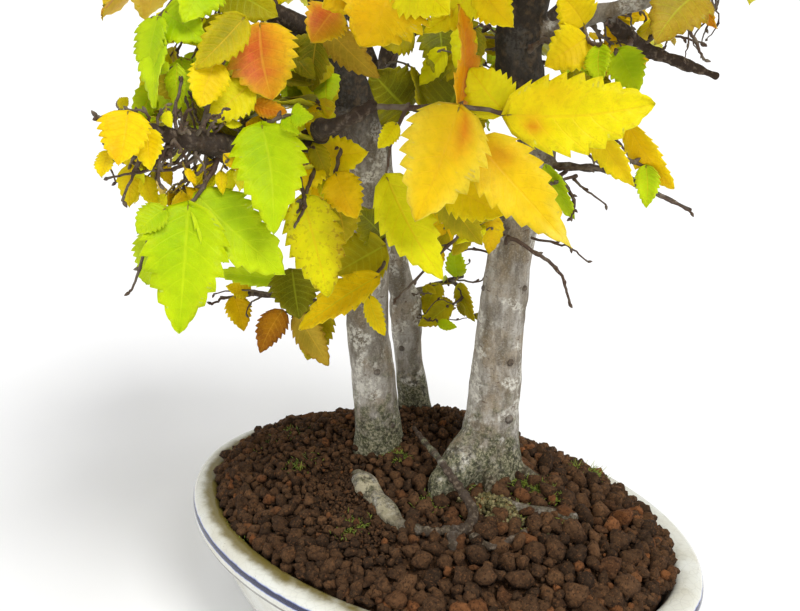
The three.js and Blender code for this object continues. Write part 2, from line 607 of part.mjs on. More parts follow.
// Sprays that the front view shows. Each grows at a place on a limb, along its first twig, and may have more twigs
// that start on the first. Points are [across, down, depth] in the front view. A leaf is [base, tip, width, roll in
// degrees]: its face is turned to the front view, and then by the roll about its rib.
const frontSprays = {
  lime_front: {
    hue: "lime",
    limb: ["leftFront", 3.62],
    twigs: [
      [[214, 168, -62], [203, 186, -66], [190, 204, -70], [166, 212, -72]],
      [[166, 212, -72], [150, 236, -73], [140, 268, -74], [130, 292, -75]],
    ],
    leaves: [
      [[188, 206, -71], [179, 334, -86], 25, 0],
      [[198, 196, -67], [286, 274, -70], 20, -15],
      [[165, 209, -74], [137, 233, -80], 9, 20],
      [[153, 232, -70], [146, 284, -62], 12, 25],
    ],
  },
  lime_middle: {
    hue: "lime",
    limb: ["leftFront", 2.7],
    twigs: [[[259, 137, -52], [262, 126, -57], [278, 118, -60], [294, 114, -62]]],
    leaves: [
      [[262, 126, -59], [273, 232, -80], 22, 0],
      [[292, 114, -63], [313, 117, -66], 7, 0],
    ],
  },
  yellow_hanging: {
    hue: "yellow",
    limb: ["leftFront", 1.1],
    twigs: [[[319, 150, -26], [312, 176, -42], [303, 200, -50], [292, 224, -54]]],
    leaves: [
      [[303, 198, -49], [329, 297, -60], 19, -12],
      [[317, 162, -36], [287, 190, -48], 13, 15],
      [[319, 158, -30], [367, 152, -40], 13, 10],
    ],
  },
  yellow_middle: {
    hue: "yellow",
    limb: ["leftStub", 1.4],
    twigs: [[[340, 146, -34], [336, 172, -38], [332, 192, -36]]],
    leaves: [
      [[336, 174, -40], [357, 218, -48], 13, 0],
      [[332, 194, -34], [345, 243, -34], 15, 0],
    ],
  },
  orange_left: {
    hue: "orange",
    limb: ["leftFront", 4.05],
    twigs: [
      [[205, 118, -62], [214, 82, -58], [228, 52, -54], [246, 30, -50], [262, 24, -48]],
      [[220, 68, -56], [238, 86, -54], [253, 104, -52]],
    ],
    leaves: [
      [[260, 25, -50], [272, 99, -58], 22, 8],
      [[244, 18, -54], [196, 68, -66], 12, 10],
      [[216, 62, -60], [200, 107, -68], 12, 0],
      [[250, 84, -54], [207, 120, -62], 13, 10],
    ],
  },
  yellow_left: {
    hue: "yellow",
    limb: ["leftFront", 4.9],
    twigs: [
      [[150, 128, -75], [130, 119, -77], [98, 118, -80]],
      [[150, 128, -75], [128, 146, -78], [108, 154, -80]],
    ],
    leaves: [
      [[128, 112, -79], [118, 165, -88], 15, 20],
      [[110, 152, -82], [101, 177, -86], 7, 40],
      [[148, 130, -77], [150, 170, -84], 9, 20],
    ],
  },
  green_high: {
    hue: "green",
    limb: ["leftHigh", 3.55],
    twigs: [[[172, 4, -40], [158, 18, -48], [160, 30, -50]]],
    leaves: [
      [[158, 18, -50], [148, 76, -58], 12, 40],
      [[160, 28, -50], [152, 108, -66], 11, 60],
      [[166, 12, -46], [206, 42, -52], 15, 0],
    ],
  },
  olive_high: {
    hue: "green",
    limb: ["leftHigh", 2.5],
    twigs: [[[226, -8, -28], [222, -16, -36], [206, -22, -42]]],
    leaves: [
      [[224, -12, -34], [276, 16, -40], 17, 0],
      [[210, -20, -42], [184, 22, -54], 15, 0],
    ],
  },
  amber_top: {
    hue: "yellow",
    limb: ["leftTopFront", 1.2],
    twigs: [[at(-44, -34, 306), at(-24, -42, 296), at(-10, -46, 288)]],
    leaves: [
      [[396, -22, -46], [362, 46, -56], 28, 0],
      [[376, -26, -44], [322, 8, -52], 17, 0],
      [[400, -24, -46], [450, 14, -52], 20, 0],
    ],
  },
  orange_top: {
    hue: "orange",
    limb: ["leftHigh", 0.55],
    twigs: [[[326, 30, -10], [332, 16, -26], [330, 10, -32]]],
    leaves: [
      [[334, 10, -34], [312, 40, -44], 14, 0],
      [[326, 27, -26], [379, 78, -36], 11, 10],
      [[318, 30, -16], [312, 92, -18], 11, 0],
    ],
  },
  lemon_top: {
    hue: "yellow",
    limb: ["rightFront", 1.5],
    twigs: [[at(24, -38, 304), at(20, -36, 290), at(10, -32, 284)]],
    leaves: [
      [[470, -12, -34], [416, 6, -44], 15, 0],
      [[474, -10, -36], [424, 33, -44], 12, 0],
      [[482, -12, -36], [513, 26, -44], 13, 0],
    ],
  },
  long_twig: {
    hue: "yellow",
    limb: ["leftStub", 3.9],
    twigs: [
      [[406, 107, -53], [458, 107, -55], [506, 114, -52], [560, 132, -47], [603, 150, -43], [634, 162, -40]],
      [[458, 107, -55], [472, 124, -54], [479, 146, -55]],
      [[406, 107, -53], [392, 140, -50], [386, 178, -48]],
      [[603, 150, -43], [615, 137, -40], [629, 124, -38]],
      [[634, 162, -40], [648, 168, -39]],
    ],
    leaves: [
      [[459, 108, -57], [416, 220, -74], 26, 0],
      [[459, 106, -53], [462, 4, -44], 18, 62],
      [[508, 115, -53], [656, 103, -60], 24, -8],
      [[504, 112, -50], [470, 68, -48], 16, 10],
      [[478, 143, -57], [572, 248, -70], 21, -12],
      [[387, 178, -49], [443, 280, -62], 18, 0],
      [[590, 126, -45], [634, 188, -47], 10, 30],
      [[628, 124, -39], [674, 189, -41], 11, 35],
      [[646, 166, -40], [646, 208, -44], 8, 0],
    ],
  },
  yellow_behind: {
    hue: "yellow",
    limb: ["rightTrunk", 8.5],
    twigs: [[[508, 176, -6], [478, 176, -16], [442, 184, -24]]],
    leaves: [
      [[446, 182, -26], [506, 214, -34], 17, 0],
      [[440, 186, -22], [482, 246, -20], 14, 20],
      [[476, 176, -16], [440, 150, -20], 14, 0],
    ],
  },
  olive_trunk: {
    hue: "green",
    limb: ["leftTrunk", 4.9],
    twigs: [[[382, 236, 4], [386, 258, -12], [376, 276, -20], [370, 296, -18]]],
    leaves: [
      [[384, 246, -10], [334, 274, -14], 20, 10],
      [[377, 277, -22], [299, 330, -34], 14, 35],
      [[369, 297, -20], [385, 336, -24], 7, 0],
      [[384, 238, 0], [354, 208, -18], 14, 0],
    ],
  },
  green_low: {
    hue: "green",
    limb: ["leftLow", 1.75],
    twigs: [[[298, 288, 30], [293, 272, 24], [276, 280, 22]]],
    leaves: [
      [[292, 270, 22], [299, 318, 10], 20, 0],
      [[280, 281, 20], [212, 273, 26], 9, 20],
    ],
  },
  brown_low: {
    hue: "orange",
    limb: ["leftLow", 1.2],
    twigs: [[[318, 306, 30], [308, 313, 24], [296, 315, 22], [282, 311, 21]]],
    leaves: [
      [[282, 311, 20], [260, 353, 12], 12, 0],
      [[297, 315, 21], [328, 366, 12], 13, 20],
      [[322, 305, 27], [307, 360, 16], 15, 10],
    ],
  },
  amber_low: {
    hue: "yellow",
    limb: ["leftLow", 2.7],
    twigs: [[[240, 296, 42], [224, 298, 42], [212, 304, 40]]],
    leaves: [
      [[235, 297, 40], [244, 331, 32], 11, 0],
    ],
  },
  green_middle: {
    hue: "green",
    limb: ["backTrunk", 7.6],
    twigs: [[[404, 108, 40], [420, 112, 30], [448, 118, 24]]],
    leaves: [
      [[408, 110, 34], [372, 72, 24], 26, 0],
      [[446, 116, 24], [478, 62, 20], 28, 0],
      [[424, 112, 28], [412, 66, 28], 10, 60],
      [[446, 118, 22], [412, 150, 20], 17, 0],
    ],
  },
  green_top: {
    hue: "green",
    limb: ["backTrunk", 8.5],
    twigs: [[[404, 46, 44], [424, 26, 34], [440, 18, 30]]],
    leaves: [
      [[438, 18, 28], [441, 80, 18], 17, 0],
      [[412, 30, 34], [380, 44, 30], 14, 0],
      [[440, 16, 30], [484, 50, 22], 15, 0],
    ],
  },
  olive_back: {
    hue: "green",
    limb: ["backLow", 1.4],
    twigs: [[[456, 284, 62], [462, 298, 58], [448, 306, 54]]],
    leaves: [
      [[460, 284, 60], [474, 322, 54], 9, 30],
      [[450, 304, 54], [418, 326, 50], 10, 0],
      [[438, 284, 64], [424, 314, 56], 11, 20],
      [[458, 276, 66], [456, 244, 58], 9, 0],
    ],
  },
  green_right: {
    hue: "green",
    limb: ["rightMid", 0.9],
    twigs: [[[560, 176, -2], [546, 188, -8], [541, 192, -8]], [[560, 176, -2], [574, 200, -6], [571, 218, -8]]],
    leaves: [[[546, 166, -4], [574, 220, -10], 9, 35]],
  },
  yellow_arm: {
    hue: "yellow",
    limb: ["rightArm", 1.5],
    twigs: [[[584, 30, -8], [590, 42, -14], [598, 46, -18]]],
    leaves: [
      [[586, 38, -12], [546, 66, -18], 16, 0],
      [[600, 46, -18], [600, 82, -26], 9, 20],
      [[584, 24, -10], [560, -6, -14], 14, 0],
    ],
  },
  green_arm: {
    hue: "green",
    limb: ["rightLow", 0.7],
    twigs: [[[630, 44, -6], [624, 48, -10], [616, 50, -12]]],
    leaves: [[[618, 50, -12], [638, 92, -20], 13, 0]],
  },
  olive_arm: {
    hue: "green",
    limb: ["rightArm", 4.2],
    twigs: [[[690, -22, -14], [697, -14, -20], [700, -6, -24]]],
    leaves: [
      [[699, -8, -24], [656, 40, -36], 19, 10],
    ],
  },
  bare_right: {
    hue: "wood",
    limb: ["rightTrunk", 7],
    twigs: [[[508, 238, 0], [537, 254, -6], [556, 268, -8], [564, 282, -8], [569, 303, -8]]],
    leaves: [],
  },
};

// Sprays of the crown and of the back. Each grows at a place on a limb, towards a direction of the planting, with
// so many leaves placed by the rule in ruledSpray.
const ruledSprays = [
  ["leftHigh", 1.3, [-0.3, 0.3, 1], "yellow", 3],
  ["leftHigh", 3.2, [-0.8, 0.5, 0.5], "green", 3],
  ["leftBack", 1.6, [-0.7, 0.2, 0.6], "yellow", 3],
  ["leftBack", 2.8, [-0.5, 0.8, 0], "orange", 3],
  ["leftTopBack", 1.7, [-0.4, 0.9, 0.3], "green", 3],
  ["leftTopFront", 1.8, [-0.7, -0.6, 0.2], "lime", 3],
  ["leftTrunk", 10.2, [-0.8, 0.1, 0.4], "orange", 3],
  ["leftTrunk", 11.1, [0.5, -0.7, 0.5], "yellow", 3],
  ["leftTrunk", 11.9, [-0.1, 0.3, 0.9], "green", 3],
  ["leftFront", 3.1, [-0.2, 0.9, 0.3], "green", 3],
  ["backLeft", 1.6, [-0.6, 0.8, 0.1], "yellow", 3],
  ["backRight", 1.7, [0.8, 0.6, 0], "green", 3],
  ["backTrunk", 10.4, [-0.2, 0.9, 0.3], "lime", 3],
  ["backTrunk", 11.8, [0.1, 0.4, 0.9], "yellow", 3],
  ["rightBack", 1.6, [0.2, 0.9, 0.2], "green", 3],
  ["rightBack", 2.8, [0.9, 0.4, 0.1], "yellow", 3],
  ["rightFront", 2.2, [0.6, -0.6, 0.4], "lime", 3],
  ["rightFront", 2.9, [-0.4, -0.9, 0], "orange", 3],
  ["rightTop", 1.4, [0.6, 0.5, 0.5], "orange", 3],
  ["centreBack", 1.6, [-0.5, 0.6, 0.5], "yellow", 3],
  ["rightTrunk", 16.2, [0.6, 0.6, 0.5], "yellow", 3],
  ["rightTrunk", 16.9, [-0.7, -0.5, 0.4], "green", 3],
  ["rightTrunk", 17.8, [0, 0.3, 0.9], "lime", 3],
  ["rightArm", 4.9, [0.8, 0.4, 0.2], "yellow", 3],
];

// Lay a ruled spray out: a drooping twig, with leaves by turns on its left and right and one at its end.
function layRuled([limb, place, direction, hue, count], seed, turn) {
  const random = randomFrom(seed);
  const along = at(...direction).normalize().applyAxisAngle(UP, turn);
  const side = along.clone().cross(UP).normalize();
  const start = onLimb(limb, place);
  const long = 30 + 14 * random();
  const twig = [0, 1, 2, 3].map((i) =>
    start
      .clone()
      .addScaledVector(along, (long * i) / 3)
      .addScaledVector(side, (random() - 0.5) * 2 * i)
      .addScaledVector(UP, -0.4 * i * i),
  );
  const leaves = Array.from({ length: count }, (_, i) => {
    const share = 0.9 + (2.05 * i) / (count - 1);
    const low = Math.floor(share);
    const base = twig[low].clone().lerp(twig[low + 1], share - low);
    const hand = i === count - 1 ? 0.1 : 1 - 2 * (i % 2);
    const heading = along.clone().multiplyScalar(0.7 - 0.3 * Math.abs(hand));
    heading.addScaledVector(side, 0.85 * hand).addScaledVector(UP, -0.25 - 0.45 * random());
    const size = 25 + 11 * random();
    const wide = size * (0.5 + 0.1 * random());
    const face = UP.clone().addScaledVector(along, 0.3).addScaledVector(side, 0.8 * (random() - 0.5));
    return { base, tip: base.clone().addScaledVector(heading.normalize(), size), wide, face };
  });
  return { hue, twigs: [twig], leaves };
}

// Lay a spray of the front view out in millimetres.
function layFront({ hue, limb, twigs, leaves }) {
  const place = (point) => (Array.isArray(point) ? seen(...point) : point);
  const start = onLimb(...limb);
  const eye = at(...VIEW.eye);
  return {
    hue,
    twigs: twigs.map((twig, i) => (i === 0 ? [start, ...twig.map(place)] : twig.map(place))),
    leaves: leaves.map(([from, to, wide, roll]) => {
      const base = place(from);
      const tip = place(to);
      const along = tip.clone().sub(base).normalize();
      const face = eye.clone().sub(base).applyAxisAngle(along, THREE.MathUtils.degToRad(roll));
      return { base, tip, wide, face };
    }),
  };
}

// The place nearest to a point on a spray's twigs.
function nearestOn(twigs, point) {
  const nearest = new THREE.Vector3();
  const best = new THREE.Vector3();
  let least = Infinity;
  for (const twig of twigs) {
    for (let i = 0; i + 1 < twig.length; i++) {
      new THREE.Line3(twig[i], twig[i + 1]).closestPointToPoint(point, true, nearest);
      if (nearest.distanceTo(point) < least) {
        least = nearest.distanceTo(point);
        best.copy(nearest);
      }
    }
  }
  return best;
}

// A twig's wood.
function twigSolid(twig) {
  const last = twig.length - 1;
  return limbSolid(
    twig.map((point, i) => [point, THREE.MathUtils.lerp(TWIG_BASE, TWIG_TIP, i / last)]),
    TWIG_SIDES,
  );
}

// A leaf that is rooted in a twig, by a stalk where it starts clear of the twig.
function stalkedLeaf(leaf, twigs) {
  const along = leaf.tip.clone().sub(leaf.base);
  if (nearestOn(twigs, leaf.base).distanceTo(leaf.base) < STALK_THICK) return leafSolid(leaf);
  const stalk = [
    [nearestOn(twigs, leaf.base), STALK_THICK],
    [leaf.base.clone().addScaledVector(along, 0.14), STALK_THICK],
  ];
  return leafSolid(leaf).add(limbSolid(stalk, TWIG_SIDES));
}

// The solids whose boxes meet a solid's box.
function nearTo(solid, others) {
  const box = solid.boundingBox();
  return others.filter((other) => {
    const room = other.boundingBox();
    return [0, 1, 2].every((i) => room.min[i] < box.max[i] && room.max[i] > box.min[i]);
  });
}

// How much of a solid lies inside others, in cubic millimetres.
function crossing(solid, others) {
  let sum = 0;
  for (const other of nearTo(solid, others)) {
    const shared = solid.intersect(other);
    sum += shared.volume();
    shared.delete();
  }
  return sum;
}

// A solid without what lies inside others, as one body.
function clearedOf(solid, others) {
  if (crossing(solid, others) === 0) return solid;
  const rest = wasm.Manifold.difference([solid, ...nearTo(solid, others)]);
  const body = largestOf(rest);
  rest.delete();
  return body;
}

// A leaf bent up or down at its stalk by some degrees.
function bentLeaf(leaf, degrees) {
  const along = leaf.tip.clone().sub(leaf.base);
  const side = along.clone().cross(leaf.face).normalize();
  const angle = THREE.MathUtils.degToRad(degrees);
  const face = leaf.face.clone().applyAxisAngle(side, angle);
  return { ...leaf, tip: along.applyAxisAngle(side, angle).add(leaf.base), face };
}

// A leaf's solid, bent until it is clear of the wood, of other leaves of its spray and of the other sprays. One
// that only its own spray crosses is fused to it, and one that no bend clears of the rest is left out.
function fittedLeaf(leaf, twigs, wood, siblings, sprays) {
  let fused = null;
  for (const bend of LEAF_BENDS) {
    const candidate = stalkedLeaf(bentLeaf(leaf, bend), twigs);
    const clearOfWood = crossing(candidate, wood) < 0.3 * candidate.volume();
    if (clearOfWood && crossing(candidate, sprays) === 0) {
      if (crossing(candidate, siblings) === 0) return candidate;
      fused ??= candidate;
    }
    if (candidate !== fused) candidate.delete();
  }
  return fused;
}

// A spray's solid: its twigs and its leaves.
function spraySolid({ twigs, leaves }, wood, sprays) {
  const blades = [];
  for (const leaf of leaves) {
    const blade = fittedLeaf(leaf, twigs, wood, blades, sprays);
    if (blade) blades.push(blade);
  }
  const parts = [...twigs.map(twigSolid), ...blades];
  const joined = wasm.Manifold.union(parts);
  const spray = largestOf(joined);
  parts.forEach((part) => part.delete());
  joined.delete();
  return spray;
}

// Whether a spray's first twig is clear of other solids.
function twigIsClear({ twigs }, others) {
  const wood = twigSolid(twigs[0]);
  const clear = crossing(wood, others) === 0;
  wood.delete();
  return clear;
}

// All sprays by name, each clear of the wood and of the other sprays.
function makeSprays() {
  const wood = Object.keys(trees).map((name) => treeSolid(name, JOINT_GAP));
  const made = {};
  const solids = () => Object.values(made).map(({ solid }) => solid);
  const finish = (name, laid) => {
    const spray = spraySolid(laid, wood, solids());
    made[name] = { hue: laid.hue, solid: clearedOf(clearedOf(spray, wood), solids()) };
  };
  for (const [name, spray] of Object.entries(frontSprays)) finish(`spray_${name}`, layFront(spray));
  ruledSprays.forEach((spray, i) => {
    const ways = TWIG_TURNS.map((turn) => layRuled(spray, i + 1, THREE.MathUtils.degToRad(turn)));
    const laid = ways.find((way) => twigIsClear(way, solids()));
    if (laid) finish(`crown_${spray[3]}_${i + 1}`, laid);
  });
  return made;
}

const finishes = {
  glaze: new THREE.MeshStandardMaterial({ color: 0xe2ded0, roughness: 0.3 }),
  clay: new THREE.MeshStandardMaterial({ color: 0x4a2c22, roughness: 0.95 }),
  bark: new THREE.MeshStandardMaterial({ color: 0x8d8880, roughness: 0.85 }),
  wood: new THREE.MeshStandardMaterial({ color: 0x4b372e, roughness: 0.8 }),
  lime: new THREE.MeshStandardMaterial({ color: 0xa6cf12, roughness: 0.6 }),
  green: new THREE.MeshStandardMaterial({ color: 0x748a14, roughness: 0.6 }),
  yellow: new THREE.MeshStandardMaterial({ color: 0xf2d512, roughness: 0.6 }),
  orange: new THREE.MeshStandardMaterial({ color: 0xdf8a2c, roughness: 0.6 }),
  net: new THREE.MeshStandardMaterial({ color: 0x23262a, roughness: 0.5 }),
};

const bonsai = new THREE.Group();

// Add a solid to the bonsai as a named mesh.
function place(name, finish, solid) {
  const mesh = new THREE.Mesh(geometryOf(solid), finishes[finish]);
  mesh.name = name;
  bonsai.add(mesh);
  return mesh;
}

place("pot", "glaze", makePot());
const trunks = Object.keys(trees).map((name) => treeSolid(name, JOINT_GAP));
const netHeight = FOOT_HIGH + FLOOR_THICK + JOINT_GAP + NET_THICK / 2;
const netPockets = [-1, 1].map((side) => {
  const room = DRAIN_RADIUS * 3.2 + 2 * JOINT_GAP;
  const pocket = new THREE.BoxGeometry(room, room, 2 * (NET_THICK + 2 * JOINT_GAP));
  return solidOf(pocket.translate(side * DRAIN_X, 0, FOOT_HIGH + FLOOR_THICK));
});
place("soil", "clay", [...trunks, ...netPockets].reduce((soil, cut) => soil.subtract(cut), makeSoil()));
for (const name of Object.keys(trees)) place(name, "bark", treeSolid(name));
for (const [name, side] of Object.entries({ drain_net_left: -1, drain_net_right: 1 })) {
  place(name, "net", makeDrainNet()).position.set(side * DRAIN_X, 0, netHeight);
}
for (const [name, { hue, solid }] of Object.entries(makeSprays())) place(name, hue, solid);

// The origin is under the middle of the object's box.
const box = new THREE.Box3().setFromObject(bonsai);
const middle = box.getCenter(new THREE.Vector3());
bonsai.position.set(-middle.x, -middle.y, -box.min.z);

export default bonsai;
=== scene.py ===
"""Looks of a Japanese zelkova forest bonsai: three small trees in autumn leaf in a glazed oval pot.

Every piece is worked out in millimetres in the pot's frame (x along the pot, z up, the origin on the ground
under the pot's middle) and is put into its mesh in metres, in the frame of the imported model.
"""

import logging
import math
from dataclasses import dataclass, field
from enum import Enum, IntEnum
from typing import Sequence

import bpy
import numpy as np
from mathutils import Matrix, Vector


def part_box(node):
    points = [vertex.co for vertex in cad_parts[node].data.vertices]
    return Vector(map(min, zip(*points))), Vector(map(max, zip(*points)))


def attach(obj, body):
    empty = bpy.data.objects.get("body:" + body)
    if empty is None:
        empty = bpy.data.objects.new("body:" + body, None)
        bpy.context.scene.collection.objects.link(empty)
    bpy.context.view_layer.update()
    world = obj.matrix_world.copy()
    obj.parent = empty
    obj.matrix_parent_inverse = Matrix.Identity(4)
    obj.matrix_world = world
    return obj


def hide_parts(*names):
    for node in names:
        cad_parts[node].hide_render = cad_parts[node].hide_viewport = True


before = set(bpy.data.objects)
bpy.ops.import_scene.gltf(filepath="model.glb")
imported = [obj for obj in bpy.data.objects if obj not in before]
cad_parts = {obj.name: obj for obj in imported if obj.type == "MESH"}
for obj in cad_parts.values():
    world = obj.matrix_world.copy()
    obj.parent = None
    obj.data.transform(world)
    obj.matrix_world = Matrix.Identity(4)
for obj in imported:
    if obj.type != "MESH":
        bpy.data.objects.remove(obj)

Array = np.ndarray
Colour = tuple[int, int, int]
Socket = bpy.types.NodeSocket

LOG = logging.getLogger("bonsai")
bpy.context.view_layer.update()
MM = 0.001
UP = np.array([0.0, 0.0, 1.0])

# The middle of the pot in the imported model's frame, in millimetres.
POT_BOX = [np.array(corner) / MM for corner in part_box("pot")]
POT_MIDDLE = (POT_BOX[0] + POT_BOX[1]) / 2 * np.array([1, 1, 0])


# The planting and the view it was laid out in


@dataclass(frozen=True)
class Planting:
    """The planting's own frame, turned from the pot's, and the front view that its places are given in.

    Attributes:
        turn: Angle from the pot's frame to the planting's, in radians.
        eye: The view's eye in the planting's frame, in millimetres.
        pitch: How far the view looks down, in radians.
        focal: Focal length in pixels of the 800 by 611 picture.
        middle: The picture's middle, in pixels.
    """

    turn: float = math.radians(30.6)
    eye: tuple[float, float, float] = (-13.9, -378.0, 318.2)
    pitch: float = 0.393
    focal: float = 1000.0
    middle: tuple[float, float] = (400.0, 305.5)

    def at(self, x: float, y: float, z: float) -> Array:
        """A place of the planting in the pot's frame: turned about the upright by the planting's turn."""
        cosine, sine = math.cos(self.turn), math.sin(self.turn)
        return np.array([x * cosine - y * sine, x * sine + y * cosine, z])

    def seen(self, across: float, down: float, deep: float) -> Array:
        """The place that shows at a picture point, at a depth of the planting.

        The sight ray through the point is followed to y = deep.

        Args:
            across: Pixels from the picture's left edge.
            down: Pixels from the picture's top edge.
            deep: The place's y in the planting's frame, in millimetres.

        Returns:
            The place in the pot's frame.
        """
        right = (across - self.middle[0]) / self.focal
        rise = (self.middle[1] - down) / self.focal
        away = math.cos(self.pitch) + rise * math.sin(self.pitch)
        climb = rise * math.cos(self.pitch) - math.sin(self.pitch)
        reach = (deep - self.eye[1]) / away
        return self.at(self.eye[0] + reach * right, deep, self.eye[2] + reach * climb)


PLANTING = Planting()

# The front view's right in the pot's frame, along and across the pot.
VIEW_RIGHT = np.array([0.86, 0.51])


def at(x: float, y: float, z: float) -> Array:
    """A place of the planting, in the pot's frame."""
    return PLANTING.at(x, y, z)


def seen(across: float, down: float, deep: float) -> Array:
    """The place that shows at a picture point, at a depth."""
    return PLANTING.seen(across, down, deep)


def picture(*points: tuple[float, float, float]) -> list[Array]:
    """The places that show at several picture points, each (across, down, depth)."""
    return [seen(*point) for point in points]


def unit(vector: Array) -> Array:
    """A vector, or each of a list of vectors, made one long."""
    return vector / np.linalg.norm(vector, axis=-1, keepdims=True)


def turned(vector: Array, axis: Array, angle: float) -> Array:
    """A vector turned about an axis: v cos a + (k x v) sin a + k (k . v)(1 - cos a)."""
    swing = np.cross(axis, vector) * math.sin(angle)
    return vector * math.cos(angle) + swing + axis * np.dot(axis, vector) * (1 - math.cos(angle))


def linear(red: int, green: int, blue: int) -> Array:
    """A screen colour of 0 to 255 a channel as a linear colour."""
    share = np.array([red, green, blue]) / 255.0
    return np.where(share <= 0.04045, share / 12.92, ((share + 0.055) / 1.055) ** 2.4)


def lattice_noise(points: Array, cell: float, seed: int) -> Array:
    """Smooth noise from -1 to 1 at each point.

    Each corner of a cubic lattice has a value from a whole-number hash, and the eight round a point are
    blended by 3f^2 - 2f^3 along each axis.

    Args:
        points: Points in millimetres, as rows.
        cell: The lattice's step in millimetres.
        seed: A whole number that picks the pattern.

    Returns:
        One value a point.
    """
    place = points / cell + 41.7 * (seed % 97)
    corner = np.floor(place).astype(np.int64)
    blend = place - corner
    blend = blend * blend * (3 - 2 * blend)
    total = np.zeros(len(points))
    for step in np.ndindex(2, 2, 2):
        key = (corner + np.array(step)) @ np.array([374761393, 668265263, 1442695041]) + seed * 97531
        key = ((key ^ (key >> 13)) * 1274126177) & 0x7FFFFFFF
        value = ((key ^ (key >> 15)) & 0xFFFF) / 32767.5 - 1
        weight = np.prod(np.where(np.array(step) == 1, blend, 1 - blend), axis=1)
        total += value * weight
    return total


def smooth_path(points: Array, values: Array, steps: int) -> tuple[Array, Array]:
    """A curve through points, with a value carried along it.

    Between two points it is the Catmull-Rom cubic
    (2b + (c - a)t + (2a - 5b + 4c - d)t^2 + (3b - a - 3c + d)t^3) / 2, and the value runs as (1 - s)v + s w,
    with s = 3t^2 - 2t^3.

    Args:
        points: The points as rows.
        values: One value a point.
        steps: Steps from one point to the next.

    Returns:
        The curve's points as rows, and its values.
    """
    ends = np.vstack([2 * points[0] - points[1], points, 2 * points[-1] - points[-2]])
    a, b, c, d = (ends[i : len(points) - 1 + i, None, :] for i in range(4))
    t = np.arange(steps)[None, :, None] / steps
    curve = (2 * b + (c - a) * t + (2 * a - 5 * b + 4 * c - d) * t**2 + (3 * b - a - 3 * c + d) * t**3) / 2
    share = (3 * t**2 - 2 * t**3)[0, :, 0]
    carried = values[:-1, None] * (1 - share) + values[1:, None] * share
    return np.vstack([curve.reshape(-1, 3), points[-1]]), np.append(carried.ravel(), values[-1])


# Meshes


@dataclass
class Shape:
    """A mesh in millimetres, as whole arrays.

    Attributes:
        points: Points as rows.
        quads: Faces of four corners, as rows of point numbers.
        tris: Faces of three corners.
        quad_uv: Places on the surface's own map, one a corner of each quad.
        tri_uv: The same for the triangles.
        tint: Four numbers a point that its finish reads, mostly a colour and how speckled it is.
        quad_slot: The finish's number of each quad.
        tri_slot: The finish's number of each triangle.
        flat: Whether each quad is shaded flat.
    """

    points: Array
    quads: Array = field(default_factory=lambda: np.zeros((0, 4), int))
    tris: Array = field(default_factory=lambda: np.zeros((0, 3), int))
    quad_uv: Array | None = None
    tri_uv: Array | None = None
    tint: Array | None = None
    quad_slot: Array | None = None
    tri_slot: Array | None = None
    flat: Array | None = None

    def __post_init__(self) -> None:
        """Fill what was left out with plain values."""
        plain = {
            "quad_uv": np.zeros((len(self.quads), 4, 2)),
            "tri_uv": np.zeros((len(self.tris), 3, 2)),
            "tint": np.tile([1.0, 1.0, 1.0, 0.0], (len(self.points), 1)),
            "quad_slot": np.zeros(len(self.quads), int),
            "tri_slot": np.zeros(len(self.tris), int),
            "flat": np.zeros(len(self.quads), bool),
        }
        for name, value in plain.items():
            if getattr(self, name) is None:
                setattr(self, name, value)

    def finished(self, slot: int) -> "Shape":
        """The same shape with every face in one finish.

        Args:
            slot: The finish's place in the piece's list.

        Returns:
            The shape itself.
        """
        self.quad_slot[:] = slot
        self.tri_slot[:] = slot
        return self

    def tinted(self, colour: Array, specks: float = 0.0) -> "Shape":
        """The same shape with one colour at every point."""
        self.tint = np.tile(np.append(colour, specks), (len(self.points), 1))
        return self


def joined(shapes: Sequence[Shape]) -> Shape:
    """Several shapes as one, with the point numbers moved up.

    Args:
        shapes: The shapes.

    Returns:
        One shape with all of them.
    """
    starts = np.cumsum([0] + [len(shape.points) for shape in shapes])
    kept = ("quad_uv", "tri_uv", "tint", "quad_slot", "tri_slot", "flat")
    return Shape(
        np.vstack([shape.points for shape in shapes]),
        np.vstack([shape.quads + start for shape, start in zip(shapes, starts)]),
        np.vstack([shape.tris + start for shape, start in zip(shapes, starts)]),
        *[np.concatenate([getattr(shape, name) for shape in shapes]) for name in kept],
    )


def ring_shape(rings: Array, start: Array, end: Array) -> Shape:
    """A closed surface through rings of points, with a pole at each end.

    Args:
        rings: Points of shape (rings, points a ring, 3), each ring counter-clockwise seen from the end.
        start: The pole before the first ring.
        end: The pole after the last ring.

    Returns:
        The shape, its map's u running round and its v along.
    """
    count, around, _ = rings.shape
    row, column = np.meshgrid(np.arange(count - 1), np.arange(around), indexing="ij")
    after = (column + 1) % around
    low, high = row * around, (row + 1) * around
    quads = np.stack([low + column, low + after, high + after, high + column], -1).reshape(-1, 4)
    u = np.stack([column, column + 1, column + 1, column], -1) / around
    v = np.stack([row, row, row + 1, row + 1], -1) / max(1, count - 1)
    quad_uv = np.stack([u, v], -1).reshape(-1, 4, 2)
    spin = np.arange(around)
    first, last = count * around, count * around + 1
    top = (count - 1) * around
    fan = (spin + 1) % around
    low_fan = np.stack([np.full(around, first), fan, spin], 1)
    high_fan = np.stack([np.full(around, last), top + spin, top + fan], 1)
    points = np.vstack([rings.reshape(-1, 3), start, end])
    return Shape(points, quads, np.vstack([low_fan, high_fan]), quad_uv)


